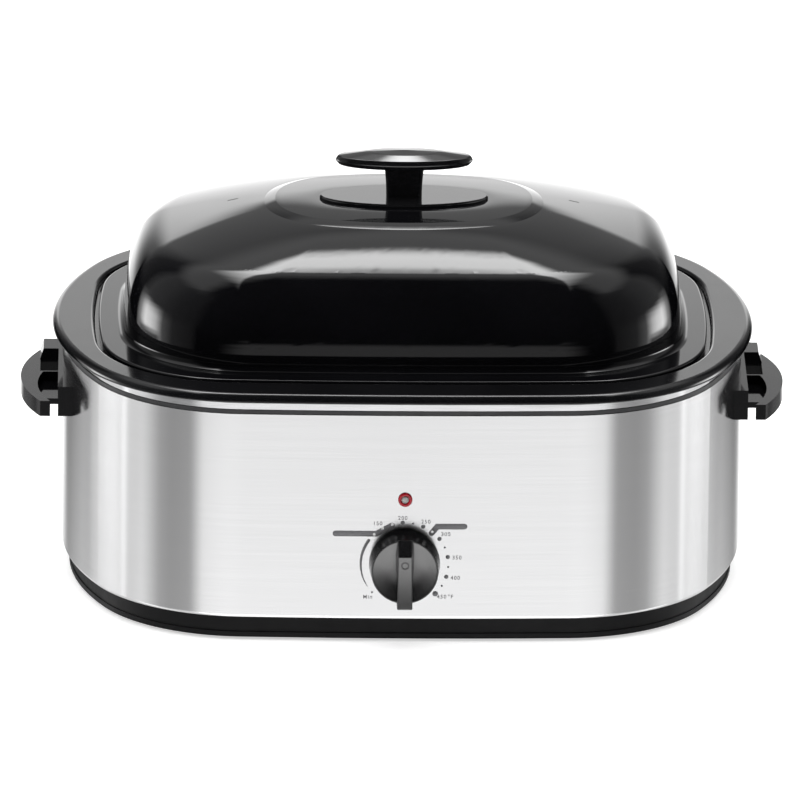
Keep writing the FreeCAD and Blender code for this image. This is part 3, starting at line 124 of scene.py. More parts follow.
# ---- dial knob, in its own axes: x to the right, y up, and height out of the front ----
DIAL_HEIGHT = 67.9
KNOB_GAP = 0.6
DISC_PROFILE = (
    (22.0, KNOB_GAP, 0.0), (28.7, KNOB_GAP, 0.3), (27.0, 20.1, 1.0), (26.2, 20.1, 0.3), (25.7, 19.4, 0.4),
    (12.0, 17.2, 60.0), (0.5, 16.8, 0.0),
)
BAR_TOP = 28.5
BAR_HOLLOW = 0.9
BAR_STEPS = 12
BAR_NOSE = (27.3, 19.4, 5.6)     # y, height and half width of the wedge's thin end
BAR_ENDS = (15.8, -29.4)         # y from the wedge to the pointer
BAR_HALF_TOP = (5.4, 6.2)        # half widths of its top from the wedge to the pointer,
BAR_HALF_BASE = (7.9, 6.6)       # and of its base
BAR_BASE_ABOVE = 15.0            # height of its base above the disc's middle,
BAR_BASE_BELOW = 9.6             # and below it, where the pointer stands out of the disc
BAR_BEVEL = 0.9
BAR_BEVEL_SEGMENTS = 4
BAR_BEVEL_ANGLE = 18
RING_MARK_Y = 8.0
RING_PROFILE = ((3.2, -0.9, 0.0), (3.2, -0.1, 0.25), (2.3, -0.1, 0.25), (2.3, -0.9, 0.0))

# ---- pilot lamp, in the dial's axes about its own middle ----
LAMP_HEIGHT = 122.7
LAMP_PROFILE = (
    (0.3, -11.0, 0.0), (4.3, -11.0, 0.3), (4.3, 0.0, 0.1), (5.75, 0.0, 0.1), (5.75, 1.8, 0.9),
    (3.6, 1.8, 0.6), (3.1, 0.6, 0.1), (0.3, 0.6, 0.0),
)
LAMP_DOME_RADIUS = 3.0
LAMP_DOME_FOOT = 0.6
LAMP_DOME_RISE = 1.1
LAMP_DOME_TURN = math.radians(88)
LAMP_DOME_STEPS = 8

# ---- print round the dial, in the dial's axes, with angles clockwise from its top ----
PRINT_LIFT = 0.1
PRINT_DEPTH = 0.04
FIRST_MARK = -3.0
MARK_STEP = 13.8
DOT_RADIUS = 35.3
DOTS = ((1.75, (0, 2, 4, 6, 8)), (0.85, (1, 5, 7, 9)), (2.3, (10,)))           # (size, marks that have it)
MIN_DOT = 0.85
MIN_DOT_ANGLE = -132.8
PIP = 1.15
PIP_MARKS = (-3, -2, -1, 3)
ARC_ENDS = (-55.4, -123.0)
ARC_HALF_WIDTH = 1.15
ARC_TIP = 0.1
ARC_TAPER = 0.6
ARC_STEPS = 20
SCALE_BARS = (((-55.8, 25.8), (-23.0, 25.8), (-10.4, 32.9)), ((21.6, 26.6), (26.0, 32.1), (47.8, 32.1)))
SCALE_BAR_HALF_HEIGHT = 2.4
FIGURE_SIZE = 4.5
FIGURE_WEIGHT = 0.03
FIGURE_SPACING = 1.2
FIGURES = {
    "150": (-22.0, 34.4), "200": (-1.8, 39.2), "250": (16.8, 36.1), "300": (32.9, 25.5), "350": (42.1, 5.6),
    "400": (41.0, -11.6), "450": (30.2, -27.7), "°F": (37.3, -27.6), "Min": (-29.5, -28.1),
}

# ---- rounded edges of the CAD nodes ----
EDGE_WIDTH = {
    "handle_left": 1.3, "handle_right": 1.3, "base_tray": 0.6, "cord_gland": 0.6, "gland_nut": 0.4,
    "feet": 0.8, "terminal_block": 0.5, "thermostat_body": 0.6, "heat_shield": 0.15,
}
EDGE_ANGLE = 30
EDGE_SEGMENTS = 3
WELD_DISTANCE = 0.005
FLAT_ANGLE = 0.8
NORMAL_WEIGHT = 60

# ---- camera: places in metres, lens and sensor in millimetres ----
CAMERA_DISTANCE = 12.0
CAMERA_AZIMUTH = math.radians(1.06)
CAMERA_ELEVATION = math.radians(18.26)
CAMERA_ROLL = math.radians(0.64)
CAMERA_LENS = 661.6
SENSOR = 36.0
AIM = Vector((0.0, MIDDLE_Y * MM, 0.165))
AIM_RIGHT = 0.00131
AIM_UP = 0.02473

# ---- studio. Radiance by turn, from 0 degrees at the front to 180 at the back on both sides ----
LOW_WALLS = (
    (0, 0), (54, 0), (60, 0.12), (80, 0.25), (92, 1.0), (101, 6.5), (107, 8.0), (116, 8.0), (125, 2.0),
    (133, 0), (158, 0), (170, 1.8),
)
HIGH_WALLS = (
    (0, 0), (50, 0), (60, 0.1), (80, 0.16), (100, 0.3), (120, 0.35), (133, 0.04), (150, 0.08), (166, 0.42),
)
FLOOR_GLOW = (
    (0, 1.85), (14, 1.95), (31, 2.0), (40, 0.82), (64, 0.68), (80, 1.6), (93, 0.7), (128, 0.7), (142, 1.1),
    (165, 0.5),
)
# Two numbers are where a light starts and where it is full, and three are its low end, high end and
# softness. They are in degrees of turn or level. Overhead they are how far a direction goes sideways or back
# as it rises by 1.
WALL_CHANGE = (9, -3)
HORIZON_TURN = (160, 172)
HORIZON_LEVEL = (-12, 17.6, 2.2)
HORIZON_GLOW = 2.3
CEILING_LEVEL = (38, 50)
CEILING_SLANT = 0.5
CEILING_EDGE = (-0.1, 0.35)
CEILING_GLOW = 0.85
SOFTBOX_BOW = 5.0
SOFTBOX_FRONT = (0.34, 0.48)
SOFTBOX_BACK = (0.69, 0.54)
SOFTBOX_END = (0.44, 0.08)
SOFTBOX_GLOW = 10.5
FLOOR_LEVEL = (-20, -17)
STRIP_TURN = (36, 8)
STRIP_LEVEL = (-17, -9.5, 1.5)
STRIP_GLOW = 0.5
APRON_TURN = (95, 128, 5)
APRON_LEVEL = (-9.5, -13.5)
APRON_GLOW = 0.75
BACKDROP_GLOW = 1.0              # what the camera itself sees
LEAST_RISE = 0.02
FLOOR_REACH = 60.0
FLOOR_LIGHT = 0.55
PANELS = (                       # name, place and side in metres, power in watts
    ("top_panel", (0.0, -0.3, 2.6), 2.4, 60.0),
    ("left_panel", (-2.4, -1.2, 1.6), 1.6, 24.0),
    ("right_panel", (2.4, -1.2, 1.6), 1.6, 16.0),
)
PANEL_AIM = 0.15

# ---- fineness of the meshes ----
SIDE_STEPS = 14
CORNER_STEPS = 36
FRONT_STEPS = 20
OVAL_STEPS = 128
RECTANGLE_STEPS = 8
DISC_STEPS = 20
CAP_STEPS = 8
BEND_STEP = math.radians(11)
NUDGE = 1e-4
QUARTERS = ((1, 1), (-1, 1), (-1, -1), (1, -1))


# ---- outlines ----
def between(first, last, share):
    return first + (last - first) * share


def inset(plan, distance):
    """The outline moved inwards by a distance all round."""
    return Plan(*(size - distance for size in plan))


def blend(first, last, share):
    """The outline that lies a share of the way from one outline to another."""
    return Plan(*(between(a, b, share) for a, b in zip(first, last)))


def quadrant(plan):
    """Points and outward normals of one quarter, from the middle of the side to the middle of the back."""
    front_centre = Vector((0, plan.half_depth - plan.front))
    side_centre = Vector((plan.half_width - plan.side, 0))
    to_front = plan.front - plan.corner
    to_side = plan.side - plan.corner
    span = side_centre - front_centre
    along = (to_front**2 - to_side**2 + span.length**2) / (2 * span.length)
    across = math.sqrt(to_front**2 - along**2)
    direction = span.normalized()
    centre = front_centre + direction * along + Vector((direction.y, -direction.x)) * across
    side_turn = math.atan2(centre.y - side_centre.y, centre.x - side_centre.x)
    front_turn = math.atan2(centre.y - front_centre.y, centre.x - front_centre.x)
    samples = []
    for hub, radius, first, last, steps in (
        (side_centre, plan.side, 0.0, side_turn, SIDE_STEPS),
        (centre, plan.corner, side_turn, front_turn, CORNER_STEPS),
        (front_centre, plan.front, front_turn, math.pi / 2, FRONT_STEPS),
    ):
        for step in range(steps):
            turn = between(first, last, step / steps)
            normal = Vector((math.cos(turn), math.sin(turn)))
            samples.append((hub + normal * radius, normal))
    samples.append((Vector((0, plan.half_depth)), Vector((0, 1))))
    return samples


def plan_loop(plan, height):
    """Points and directions of travel round an outline, anticlockwise."""
    quarter = quadrant(plan)
    loop = []
    for x_sign, y_sign in QUARTERS:
        part = quarter[:-1] if x_sign * y_sign > 0 else quarter[:0:-1]
        for point, normal in part:
            place = Vector((point.x * x_sign, point.y * y_sign + MIDDLE_Y, height))
            loop.append((place, Vector((-normal.y * y_sign, normal.x * x_sign, 0))))
    return loop


def oval_loop(half_width, half_depth, height, middle_y=0.0):
    """Points and directions of travel round an oval."""
    loop = []
    for step in range(OVAL_STEPS):
        turn = math.tau * step / OVAL_STEPS
        x = math.cos(turn)
        y = math.sin(turn)
        point = Vector((half_width * x, half_depth * y + middle_y, height))
        loop.append((point, Vector((-half_width * y, half_depth * x, 0))))
    return loop


def rectangle_loop(half_width, half_depth, corner, centre):
    """Points and directions of travel round a rectangle with rounded corners."""
    loop = []
    for number, (x_sign, y_sign) in enumerate(QUARTERS):
        hub = centre + Vector((x_sign * (half_width - corner), y_sign * (half_depth - corner), 0))
        for step in range(RECTANGLE_STEPS + 1):
            turn = math.pi / 2 * (number + step / RECTANGLE_STEPS)
            outward = Vector((math.cos(turn), math.sin(turn), 0))
            loop.append((hub + outward * corner, Vector((-outward.y, outward.x, 0))))
    return loop


# ---- meshes through loops ----
def mesh_object(name, points, faces, normals=None, place=None):
    """An object from points in millimetres. Normals, where given, are one for each corner of each face."""
    mesh = bpy.data.meshes.new(name)
    mesh.from_pydata([point * MM for point in points], [], faces)
    mesh.polygons.foreach_set("use_smooth", [True] * len(faces))
    if normals:
        mesh.normals_split_custom_set(normals)
    if place:
        mesh.transform(place)
    obj = bpy.data.objects.new(name, mesh)
    bpy.context.scene.collection.objects.link(obj)
    return obj


def loft(name, runs, caps=True, place=None):
    """A mesh through loops. A run is a function from a share of its way to a loop, and a number of steps."""
    points = []
    strips = []
    rows = 0
    width = len(runs[0][0](0.0))
    for section, steps in runs:
        for step in range(steps + 1):
            share = step / steps
            loop = section(share)
            before = section(max(share - NUDGE, 0.0))
            after = section(min(share + NUDGE, 1.0))
            normals = [
                tangent.cross(b - a).normalized() for (_, tangent), (a, _), (b, _) in zip(loop, before, after)
            ]
            if step or not rows:
                points += [point for point, _ in loop]
                rows += 1
            if step:
                strips.append((rows - 2, last_normals, rows - 1, normals))
            last_normals = normals
    faces = []
    corner_normals = []
    for low, low_normals, high, high_normals in strips:
        for i in range(width):
            j = (i + 1) % width
            faces.append((low * width + i, low * width + j, high * width + j, high * width + i))
            corner_normals += [low_normals[i], low_normals[j], high_normals[j], high_normals[i]]
    if caps:
        for row, turned in ((0, True), (rows - 1, False)):
            ends = points[row * width:(row + 1) * width]
            hub = len(points)
            points.append(sum(ends, Vector()) / width)
            for i in range(width):
                j = (i + 1) % width
                first, last = (j, i) if turned else (i, j)
                normal = (ends[first] - points[hub]).cross(ends[last] - points[hub]).normalized()
                faces.append((row * width + first, row * width + last, hub))
                corner_normals += [normal] * 3
    return mesh_object(name, points, faces, corner_normals, place)


# ---- paths of bent sheets ----
def straight(start, end):
    return (lambda share: between(start, end, share)), 1


def bend(centre, radius, first, last):
    steps = max(3, math.ceil(abs(last - first) / BEND_STEP))

    def place(share):
        turn = between(first, last, share)
        return centre + Vector((math.cos(turn), math.sin(turn))) * radius

    return place, steps


def path_runs(corners, depth=0.0):
    """The runs and bends of a path through (inset, height, bend) corners, moved to its left by a depth."""
    points = [Vector((-distance, height)) for distance, height, _ in corners]
    runs = []
    start = points[0]
    for number in range(1, len(points)):
        corner = points[number]
        ahead_way = (corner - points[number - 1]).normalized()
        left = Vector((-ahead_way.y, ahead_way.x)) * depth
        if number == len(points) - 1:
            runs.append(straight(start + left, corner + left))
            break
        back = -ahead_way
        ahead = (points[number + 1] - corner).normalized()
        half_angle = back.angle(ahead) / 2
        radius = corners[number][2]
        reach = radius / math.tan(half_angle)
        centre = corner + (back + ahead).normalized() * (radius / math.sin(half_angle))
        first = corner + back * reach
        last = corner + ahead * reach
        runs.append(straight(start + left, first + left))
        turn = ahead_way.x * ahead.y - ahead_way.y * ahead.x
        first_angle = math.atan2(first.y - centre.y, first.x - centre.x)
        swing = math.remainder(math.atan2(last.y - centre.y, last.x - centre.x) - first_angle, math.tau)
        runs.append(bend(centre, radius - math.copysign(depth, turn), first_angle, first_angle + swing))
        start = last
    return runs


def backwards(runs):
    return [((lambda share, run=run: run(1.0 - share)), steps) for run, steps in reversed(runs)]


def vessel_runs(corners, sheet):
    """From the middle of the underside out to the edge, and back in over the top."""
    over = path_runs(corners)
    under = backwards(path_runs(corners, sheet))
    return under + [straight(under[-1][0](1.0), over[0][0](0.0))] + over


def round_plan(runs, plan_at):
    """Turns runs of (outwards, upwards) into loops round the outline that plan_at gives for an inset."""
    def loops(run):
        return lambda share: plan_loop(plan_at(-run(share).x), run(share).y)

    return [(loops(run), steps) for run, steps in runs]


def round_oval(runs, depth_ratio=1.0, middle_y=0.0):
    """Turns runs of (half width, height) into ovals of one shape."""
    def loops(run):
        return lambda share: oval_loop(run(share).x, run(share).x * depth_ratio, run(share).y, middle_y)

    return [(loops(run), steps) for run, steps in runs]


def profile_runs(profile, lift=0.0):
    """The runs of a profile, raised by a lift."""
    return path_runs([(-half_width, height + lift, radius) for half_width, height, radius in profile])


# ---- node materials ----
class Nodes:
    """A node tree with a short call that adds a node."""

    def add(self, kind, inputs=None, **settings):
        node = self.tree.nodes.new("ShaderNode" + kind)
        for setting, value in settings.items():
            setattr(node, setting, value)
        for socket, value in (inputs or {}).items():
            self.feed(node.inputs[socket], value)
        return node

    def feed(self, socket, value):
        """Links a socket to another one, or sets it to a number, colour or vector."""
        if isinstance(value, bpy.types.NodeSocket):
            self.tree.links.new(value, socket)
        else:
            socket.default_value = value


class Finish(Nodes):
    """A node material round one Principled shader, with short calls for its textures."""

    def __init__(self, name, colour, roughness, metallic=0.0, **sockets):
        self.material = bpy.data.materials.new(name)
        self.material.use_nodes = True
        self.tree = self.material.node_tree
        self.shader = self.tree.nodes["Principled BSDF"]
        self.set("Base Color", (*colour, 1.0))
        self.set("Roughness", roughness)
        self.set("Metallic", metallic)
        for socket, value in sockets.items():
            self.set(socket.replace("_", " "), value)
        self.place = self.add("TexCoord").outputs["Object"]

    def set(self, socket, value):
        self.feed(self.shader.inputs[socket], value)

    def scaled(self, scale, stretch):
        """Coordinates with scale features to the metre, times stretch along each axis."""
        scales = [scale * factor for factor in stretch]
        return self.add("Mapping", {"Vector": self.place, "Scale": scales}).outputs[0]

    def noise(self, scale, stretch=(1, 1, 1), detail=3.0, roughness=0.5):
        node = self.add("TexNoise", {
            "Vector": self.scaled(scale, stretch), "Scale": 1.0, "Detail": detail, "Roughness": roughness,
        })
        return node.outputs["Fac"]

    def cells(self, scale, stretch):
        node = self.add("TexVoronoi", {"Vector": self.scaled(scale, stretch), "Scale": 1.0})
        return node.outputs["Distance"]

    def remap(self, noise, low, high):
        """From low to high over the middle of a noise, where most of its values lie."""
        node = self.add("MapRange", {
            "Value": noise, "From Min": 0.3, "From Max": 0.7, "To Min": low, "To Max": high,
        })
        return node.outputs[0]

    def colour(self, noise, first, last):
        """Lets the base colour wander between two colours with a noise."""
        node = self.add("Mix", {"Factor": self.remap(noise, 0, 1)}, data_type="RGBA")
        colours = [socket for socket in node.inputs if socket.type == "RGBA"]
        colours[0].default_value = (*first, 1.0)
        colours[1].default_value = (*last, 1.0)
        self.set("Base Color", [socket for socket in node.outputs if socket.type == "RGBA"][0])

    def total(self, first, second):
        return self.add("Math", {0: first, 1: second}, operation="ADD").outputs[0]

    def bump(self, height, depth, strength=1.0):
        """A bump whose height runs over a depth in millimetres."""
        node = self.add("Bump", {"Height": height, "Distance": depth * MM, "Strength": strength})
        self.set("Normal", node.outputs[0])


def shade(colour, factor):
    return tuple(min(1.0, part * factor) for part in colour)


def brushed_steel():
    """Bright sheet with long horizontal brush lines."""
    finish = Finish("brushed_steel", (0.76, 0.76, 0.765), 0.3, 1.0, Anisotropic=0.75)
    broad = finish.noise(1.0, (6, 6, 700), 3.0, 0.6)
    fine = finish.noise(1.0, (14, 14, 2600), 3.0, 0.6)
    finish.colour(broad, (0.75, 0.75, 0.755), (0.78, 0.78, 0.785))
    finish.set("Roughness", finish.remap(fine, 0.165, 0.205))
    tangent = finish.add("Tangent", direction_type="RADIAL", axis="Z")
    finish.set("Tangent", tangent.outputs[0])
    finish.set("Anisotropic Rotation", 0.25)
    finish.bump(finish.total(fine, broad), 0.002, 0.4)
    return finish.material


def polished_steel():
    """Bright trim with a faint haze."""
    finish = Finish("polished_steel", (0.8, 0.8, 0.81), 0.12, 1.0)
    haze = finish.noise(18, (1, 1, 12))
    finish.set("Roughness", finish.remap(haze, 0.09, 0.17))
    finish.bump(finish.noise(60, (1, 1, 8)), 0.01, 0.4)
    return finish.material


def enamel(name, colour, roughness):
    """Glassy black enamel with a faint orange-peel surface and clouds in its gloss."""
    finish = Finish(name, colour, roughness, IOR=1.5)
    finish.colour(finish.noise(9), shade(colour, 0.8), shade(colour, 1.3))
    finish.set("Roughness", finish.remap(finish.noise(35), roughness * 0.8, roughness * 1.25))
    finish.bump(finish.noise(60, detail=1.0), 0.0015, 0.3)
    return finish.material


def moulded(name, colour, roughness, grain=0.0, grain_scale=1500, shine=0.5, ior=1.5):
    """Moulded plastic or rubber, with a grained surface where grain is its depth in millimetres."""
    finish = Finish(name, colour, roughness, IOR=ior, Specular_IOR_Level=shine)
    finish.colour(finish.noise(14), shade(colour, 0.85), shade(colour, 1.2))
    finish.set("Roughness", finish.remap(finish.noise(90), roughness * 0.88, min(1.0, roughness * 1.12)))
    if grain:
        finish.bump(finish.noise(grain_scale, detail=2.0), grain, 0.6)
    else:
        finish.bump(finish.noise(140, detail=1.0), 0.004, 0.3)
    return finish.material


def sheet_metal(name, colour, roughness, stretch=(1, 1, 1), depth=0.01):
    """Rolled or plated metal with faint streaks and stains."""
    finish = Finish(name, colour, roughness, 1.0)
    streaks = finish.noise(60, stretch, 4.0, 0.6)
    finish.colour(finish.noise(12), shade(colour, 0.88), shade(colour, 1.06))
    finish.set("Roughness", finish.remap(streaks, roughness * 0.75, roughness * 1.3))
    finish.bump(streaks, depth, 0.5)
    return finish.material


def fibre(name, colour, scale, depth):
    """Woven or felted glass fibre."""
    finish = Finish(name, colour, 0.85)
    strands = finish.cells(scale, (1, 1, 0.25))
    tufts = finish.noise(scale * 0.3, detail=5.0)
    finish.colour(tufts, shade(colour, 0.72), shade(colour, 1.1))
    finish.bump(finish.total(strands, tufts), depth, 0.9)
    return finish.material


def mottled(name, dark, pale, roughness, scale, grain_scale, grain, strength, detail=3.0, **sockets):
    """A surface that wanders between two colours, with a fine grain of a depth in millimetres."""
    finish = Finish(name, dark, roughness, **sockets)
    finish.colour(finish.noise(scale), dark, pale)
    finish.bump(finish.noise(grain_scale, detail=detail), grain, strength)
    return finish.material


BLACK = (0.006, 0.006, 0.0065)
MATERIALS = {
    "shell_steel": brushed_steel(),
    "trim_steel": polished_steel(),
    "seal_rubber": moulded("seal_rubber", (0.030, 0.030, 0.032), 0.5, 0.01, 900),
    "well_steel": sheet_metal("rolled_steel", (0.6, 0.6, 0.61), 0.32, (1, 1, 14)),
    "heater_metal": sheet_metal("dull_aluminium", (0.58, 0.57, 0.55), 0.45),
    "plated_steel": sheet_metal("zinc_plate", (0.66, 0.67, 0.68), 0.34, (3, 3, 3)),
    "screw_steel": sheet_metal("plated_screws", (0.62, 0.62, 0.64), 0.25, (8, 8, 8), 0.005),
    "insulation": fibre("glass_felt", (0.78, 0.72, 0.5), 900, 0.4),
    "wire_sleeve": fibre("braided_sleeve", (0.68, 0.68, 0.64), 2400, 0.12),
    "black_plastic": moulded("grained_plastic", (0.007, 0.007, 0.0075), 0.5, 0.03, shine=0.15),
    "foot_rubber": moulded("foot_rubber", (0.02, 0.02, 0.021), 0.75, 0.04, 1200),
    "handle_plastic": moulded("gloss_handle", (0.003, 0.003, 0.0035), 0.07, shine=0.15),
    "knob_plastic": moulded("satin_knob", BLACK, 0.24, 0.004, 2500, shine=0.85, ior=1.75),
    "ceramic_white": mottled(
        "steatite", (0.76, 0.74, 0.69), (0.85, 0.83, 0.79), 0.55, 40, 700, 0.03, 0.6, detail=4.0
    ),
    "clear_plastic": moulded("natural_nylon", (0.75, 0.74, 0.7), 0.4, 0.01, 600),
    "brass_parts": sheet_metal("brass", (0.78, 0.6, 0.3), 0.25, (6, 6, 6)),
    "copper_tube": sheet_metal("copper", (0.8, 0.45, 0.31), 0.28, (1, 20, 20)),
    "lamp_red": mottled(
        "red_lens", (0.16, 0.001, 0.006), (0.4, 0.004, 0.014), 0.12, 300, 400, 0.01, 0.3,
        IOR=1.49, Coat_Weight=0.3,
    ),
    "pan_enamel": enamel("pan_enamel", (0.004, 0.004, 0.0045), 0.12),
    "lid_enamel": enamel("lid_enamel", (0.0025, 0.0025, 0.003), 0.045),
    "rack_chrome": sheet_metal("chrome_wire", (0.78, 0.78, 0.79), 0.14, (10, 10, 10), 0.006),
}
LID_PLASTIC = moulded("gloss_knob", BLACK, 0.1, shine=0.7, ior=1.65)
LAMP_GLASS = mottled("lamp_glass", (0.2, 0.2, 0.19), (0.42, 0.43, 0.42), 0.16, 500, 500, 0.01, 0.3, IOR=1.5)
PIP_PAINT = mottled("pip_paint", (0.76, 0.76, 0.76), (0.84, 0.84, 0.84), 0.5, 900, 2000, 0.004, 0.5)
INK = mottled("dial_ink", (0.12, 0.12, 0.125), (0.17, 0.17, 0.175), 0.5, 800, 2000, 0.004, 0.5)


# ---- dressing ----
def paint(obj, material):
    """Gives an object one material in all of its slots."""
    if not obj.data.materials:
        obj.data.materials.append(material)
    for number in range(len(obj.data.materials)):
        obj.data.materials[number] = material
    return obj


def round_edges(obj, width, angle, segments):
    """Bevels the edges sharper than an angle, and evens out the normals, as modifiers alone."""
    edge = obj.modifiers.new("edge", "BEVEL")
    edge.width = width * MM
    edge.segments = segments
    edge.limit_method = "ANGLE"
    edge.angle_limit = math.radians(angle)
    normals = obj.modifiers.new("normals", "WEIGHTED_NORMAL")
    normals.weight = NORMAL_WEIGHT
    return normals


def soften(obj, width):
    """Joins flat facets again and rounds the sharp edges, as modifiers alone."""
    weld = obj.modifiers.new("weld", "WELD")
    weld.merge_threshold = WELD_DISTANCE * MM
    flat = obj.modifiers.new("flat", "DECIMATE")
    flat.decimate_type = "DISSOLVE"
    flat.angle_limit = math.radians(FLAT_ANGLE)
    normals = round_edges(obj, width, EDGE_ANGLE, EDGE_SEGMENTS)
    normals.keep_sharp = True


def piece(obj, material_slot, body, *nodes, material=None):
    """A new piece: its finish, the body that it rides on, and the CAD nodes that it stands for."""
    paint(obj, material or MATERIALS[material_slot])
    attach(obj, body)
    if nodes:
        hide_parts(*nodes)
    return obj


# ---- roasting pan ----
def pan_plan(distance):
    """The pan's outline at an inset: the mouth's about the lid's seat, and the shell's elsewhere."""
    inside = (distance - RIM_WIDTH / 4) / (RIM_WIDTH / 2)
    outside = (LEDGE_END - distance) / (LEDGE_END - LEDGE_START)
    share = max(0.0, min(1.0, inside, outside))
    return blend(inset(SHELL, distance), inset(MOUTH, distance - RIM_WIDTH), share)


def pan():
    corners = [
        (RIM_ROLL - RIM_OVERHANG, RIM_TOP - RIM_ROLL, 0),
        (-RIM_OVERHANG, RIM_TOP - RIM_ROLL, RIM_EDGE_BEND),
        (-RIM_OVERHANG, RIM_TOP, RIM_ROLL - RIM_EDGE_BEND),
        (RIM_WIDTH, RIM_TOP, RIM_INNER_BEND),
        (RIM_WIDTH, LEDGE, LEDGE_BEND),
        (PAN_INSET, LEDGE, PAN_MOUTH_BEND),
        (PAN_INSET + PAN_TAPER, PAN_FLOOR, PAN_BOTTOM_BEND),
        (PAN_FLOOR_INSET, PAN_FLOOR, 0),
    ]
    loops = round_plan(vessel_runs(corners, PAN_SHEET), pan_plan)
    piece(loft("pan_shell", loops), "pan_enamel", "pan", "roasting_pan")


# ---- lid ----
def mouth_plan(distance):
    return inset(MOUTH, distance)


def crown_rise(spread):
    """How far the crown rises over a share of the way from the dome's foot to the platform."""
    return CROWN_RISE * spread * (1 + CROWN_BOW * (1 - spread))


def lid_sections():
    """The lid's upper surface, outside to middle: functions to (outline, height), and numbers of steps."""
    foot = DOME_FOOT
    flange_end = inset(MOUTH, LID_GAP + 2 * LID_EDGE_BEND)

    def flange(share):
        return blend(flange_end, inset(foot, -FOOT_FILLET), share), LID_FLANGE

    def fillet(share):
        turn = share * math.pi / 2
        spread = FOOT_FILLET * (1 - math.sin(turn))
        return inset(foot, -spread), LID_FLANGE + FOOT_FILLET * (1 - math.cos(turn))

    def shoulder(share):
        turn = share * math.pi / 2
        power = 2 / SHOULDER_POWER
        spread = SHOULDER_SHARE * (1 - max(math.cos(turn), 0.0) ** power)
        rise = FOOT_FILLET + (SHOULDER_RISE - FOOT_FILLET) * math.sin(turn) ** power
        return blend(foot, PLATFORM, spread), LID_FLANGE + rise + crown_rise(spread)

    def crown(share):
        spread = between(SHOULDER_SHARE, 1, share)
        return blend(foot, PLATFORM, spread), LID_FLANGE + SHOULDER_RISE + crown_rise(spread)

    def slope(share):
        fall = PLATFORM_CROWN * (PLATFORM_SLOPE / PLATFORM_ROUND) ** 2
        rise = (PLATFORM_TOP - PLATFORM_FOOT - fall) * (share + SLOPE_BOW * share * (1 - share))
        return inset(PLATFORM, PLATFORM_SLOPE * share), PLATFORM_FOOT + rise

    def top(share):
        spread = between(PLATFORM_SLOPE, PLATFORM_ROUND, share)
        return inset(PLATFORM, spread), PLATFORM_TOP - PLATFORM_CROWN * (1 - spread / PLATFORM_ROUND) ** 2

    return [(flange, 1), (fillet, 8), (shoulder, 48), (crown, 16), (slope, 8), (top, 8)]


def lid():
    edge_path = [
        (LID_GAP, LID_EDGE_BOTTOM, 0),
        (LID_GAP, LID_FLANGE, LID_EDGE_BEND),
        (LID_GAP + 2 * LID_EDGE_BEND, LID_FLANGE, 0),
    ]
    over = round_plan(path_runs(edge_path), mouth_plan)
    under = round_plan(path_runs(edge_path, LID_SHEET), mouth_plan)
    for section, steps in lid_sections():
        def raised(share, section=section):
            return plan_loop(*section(share))

        def lowered(share, section=section):
            plan, height = section(share)
            return plan_loop(inset(plan, LID_SHEET), height - LID_SHEET)

        over.append((raised, steps))
        under.append((lowered, steps))
    under = backwards(under)

    def edge(share):
        ends = zip(under[-1][0](1.0), over[0][0](0.0))
        return [(between(a, b, share), tangent) for (a, tangent), (b, _) in ends]

    obj = loft("lid_dome", under + [(edge, 1)] + over)
    cut_vents(obj)
    piece(obj, "lid_enamel", "lid", "lid_shell")


def vent_cutter(side):
    def section(share):
        centre = Vector((side * VENT_X, MIDDLE_Y + VENT_Y, between(*VENT_CUT, share)))
        return rectangle_loop(VENT_LENGTH / 2, VENT_WIDTH / 2, VENT_CORNER, centre)

    return loft("vent_cutter", [(section, 1)])


def cut_vents(obj):
    """Cuts the two steam slots, and gives the dome's faces their own normals again."""
    plain = obj.data
    tree = KDTree(len(plain.vertices))
    for vertex in plain.vertices:
        tree.insert(vertex.co, vertex.index)
    tree.balance()
    normals_at = [[] for _ in plain.vertices]
    for loop in plain.loops:
        normals_at[loop.vertex_index].append(loop.normal.copy())
    cutters = [vent_cutter(side) for side in (-1, 1)]
    for cutter in cutters:
        cut = obj.modifiers.new("vent", "BOOLEAN")
        cut.object = cutter
        cut.solver = "EXACT"
    bpy.context.view_layer.update()
    mesh = bpy.data.meshes.new_from_object(obj.evaluated_get(bpy.context.evaluated_depsgraph_get()))
    nearest = [normals_at[tree.find(vertex.co)[1]] for vertex in mesh.vertices]
    normals = []
    for face in mesh.polygons:
        for number in face.vertices:
            normal = max(nearest[number], key=face.normal.dot)
            normals.append(normal if normal.dot(face.normal) > SAME_FACE else face.normal.copy())
    mesh.normals_split_custom_set(normals)
    obj.modifiers.clear()
    obj.data = mesh
    for cutter in cutters:
        bpy.data.objects.remove(cutter)


def escutcheon():
    """The oval plate under the knob, with a chamfered edge."""
    levels = []
    for spread, depth in PLATE_EDGE:
        levels.append((PLATE_HALF_WIDTH - spread, PLATE_HALF_DEPTH - spread, PLATE_TOP - depth))
    levels.append((*PLATE_HUB, PLATE_TOP))

    def ring(first, last):
        def section(share):
            return oval_loop(*(between(a, b, share) for a, b in zip(first, last)), MIDDLE_Y)

        return section

    runs = [(ring(first, last), 1) for first, last in zip(levels, levels[1:])]
    piece(loft("knob_plate", runs), "black_plastic", "lid", "lid_escutcheon", material=LID_PLASTIC)


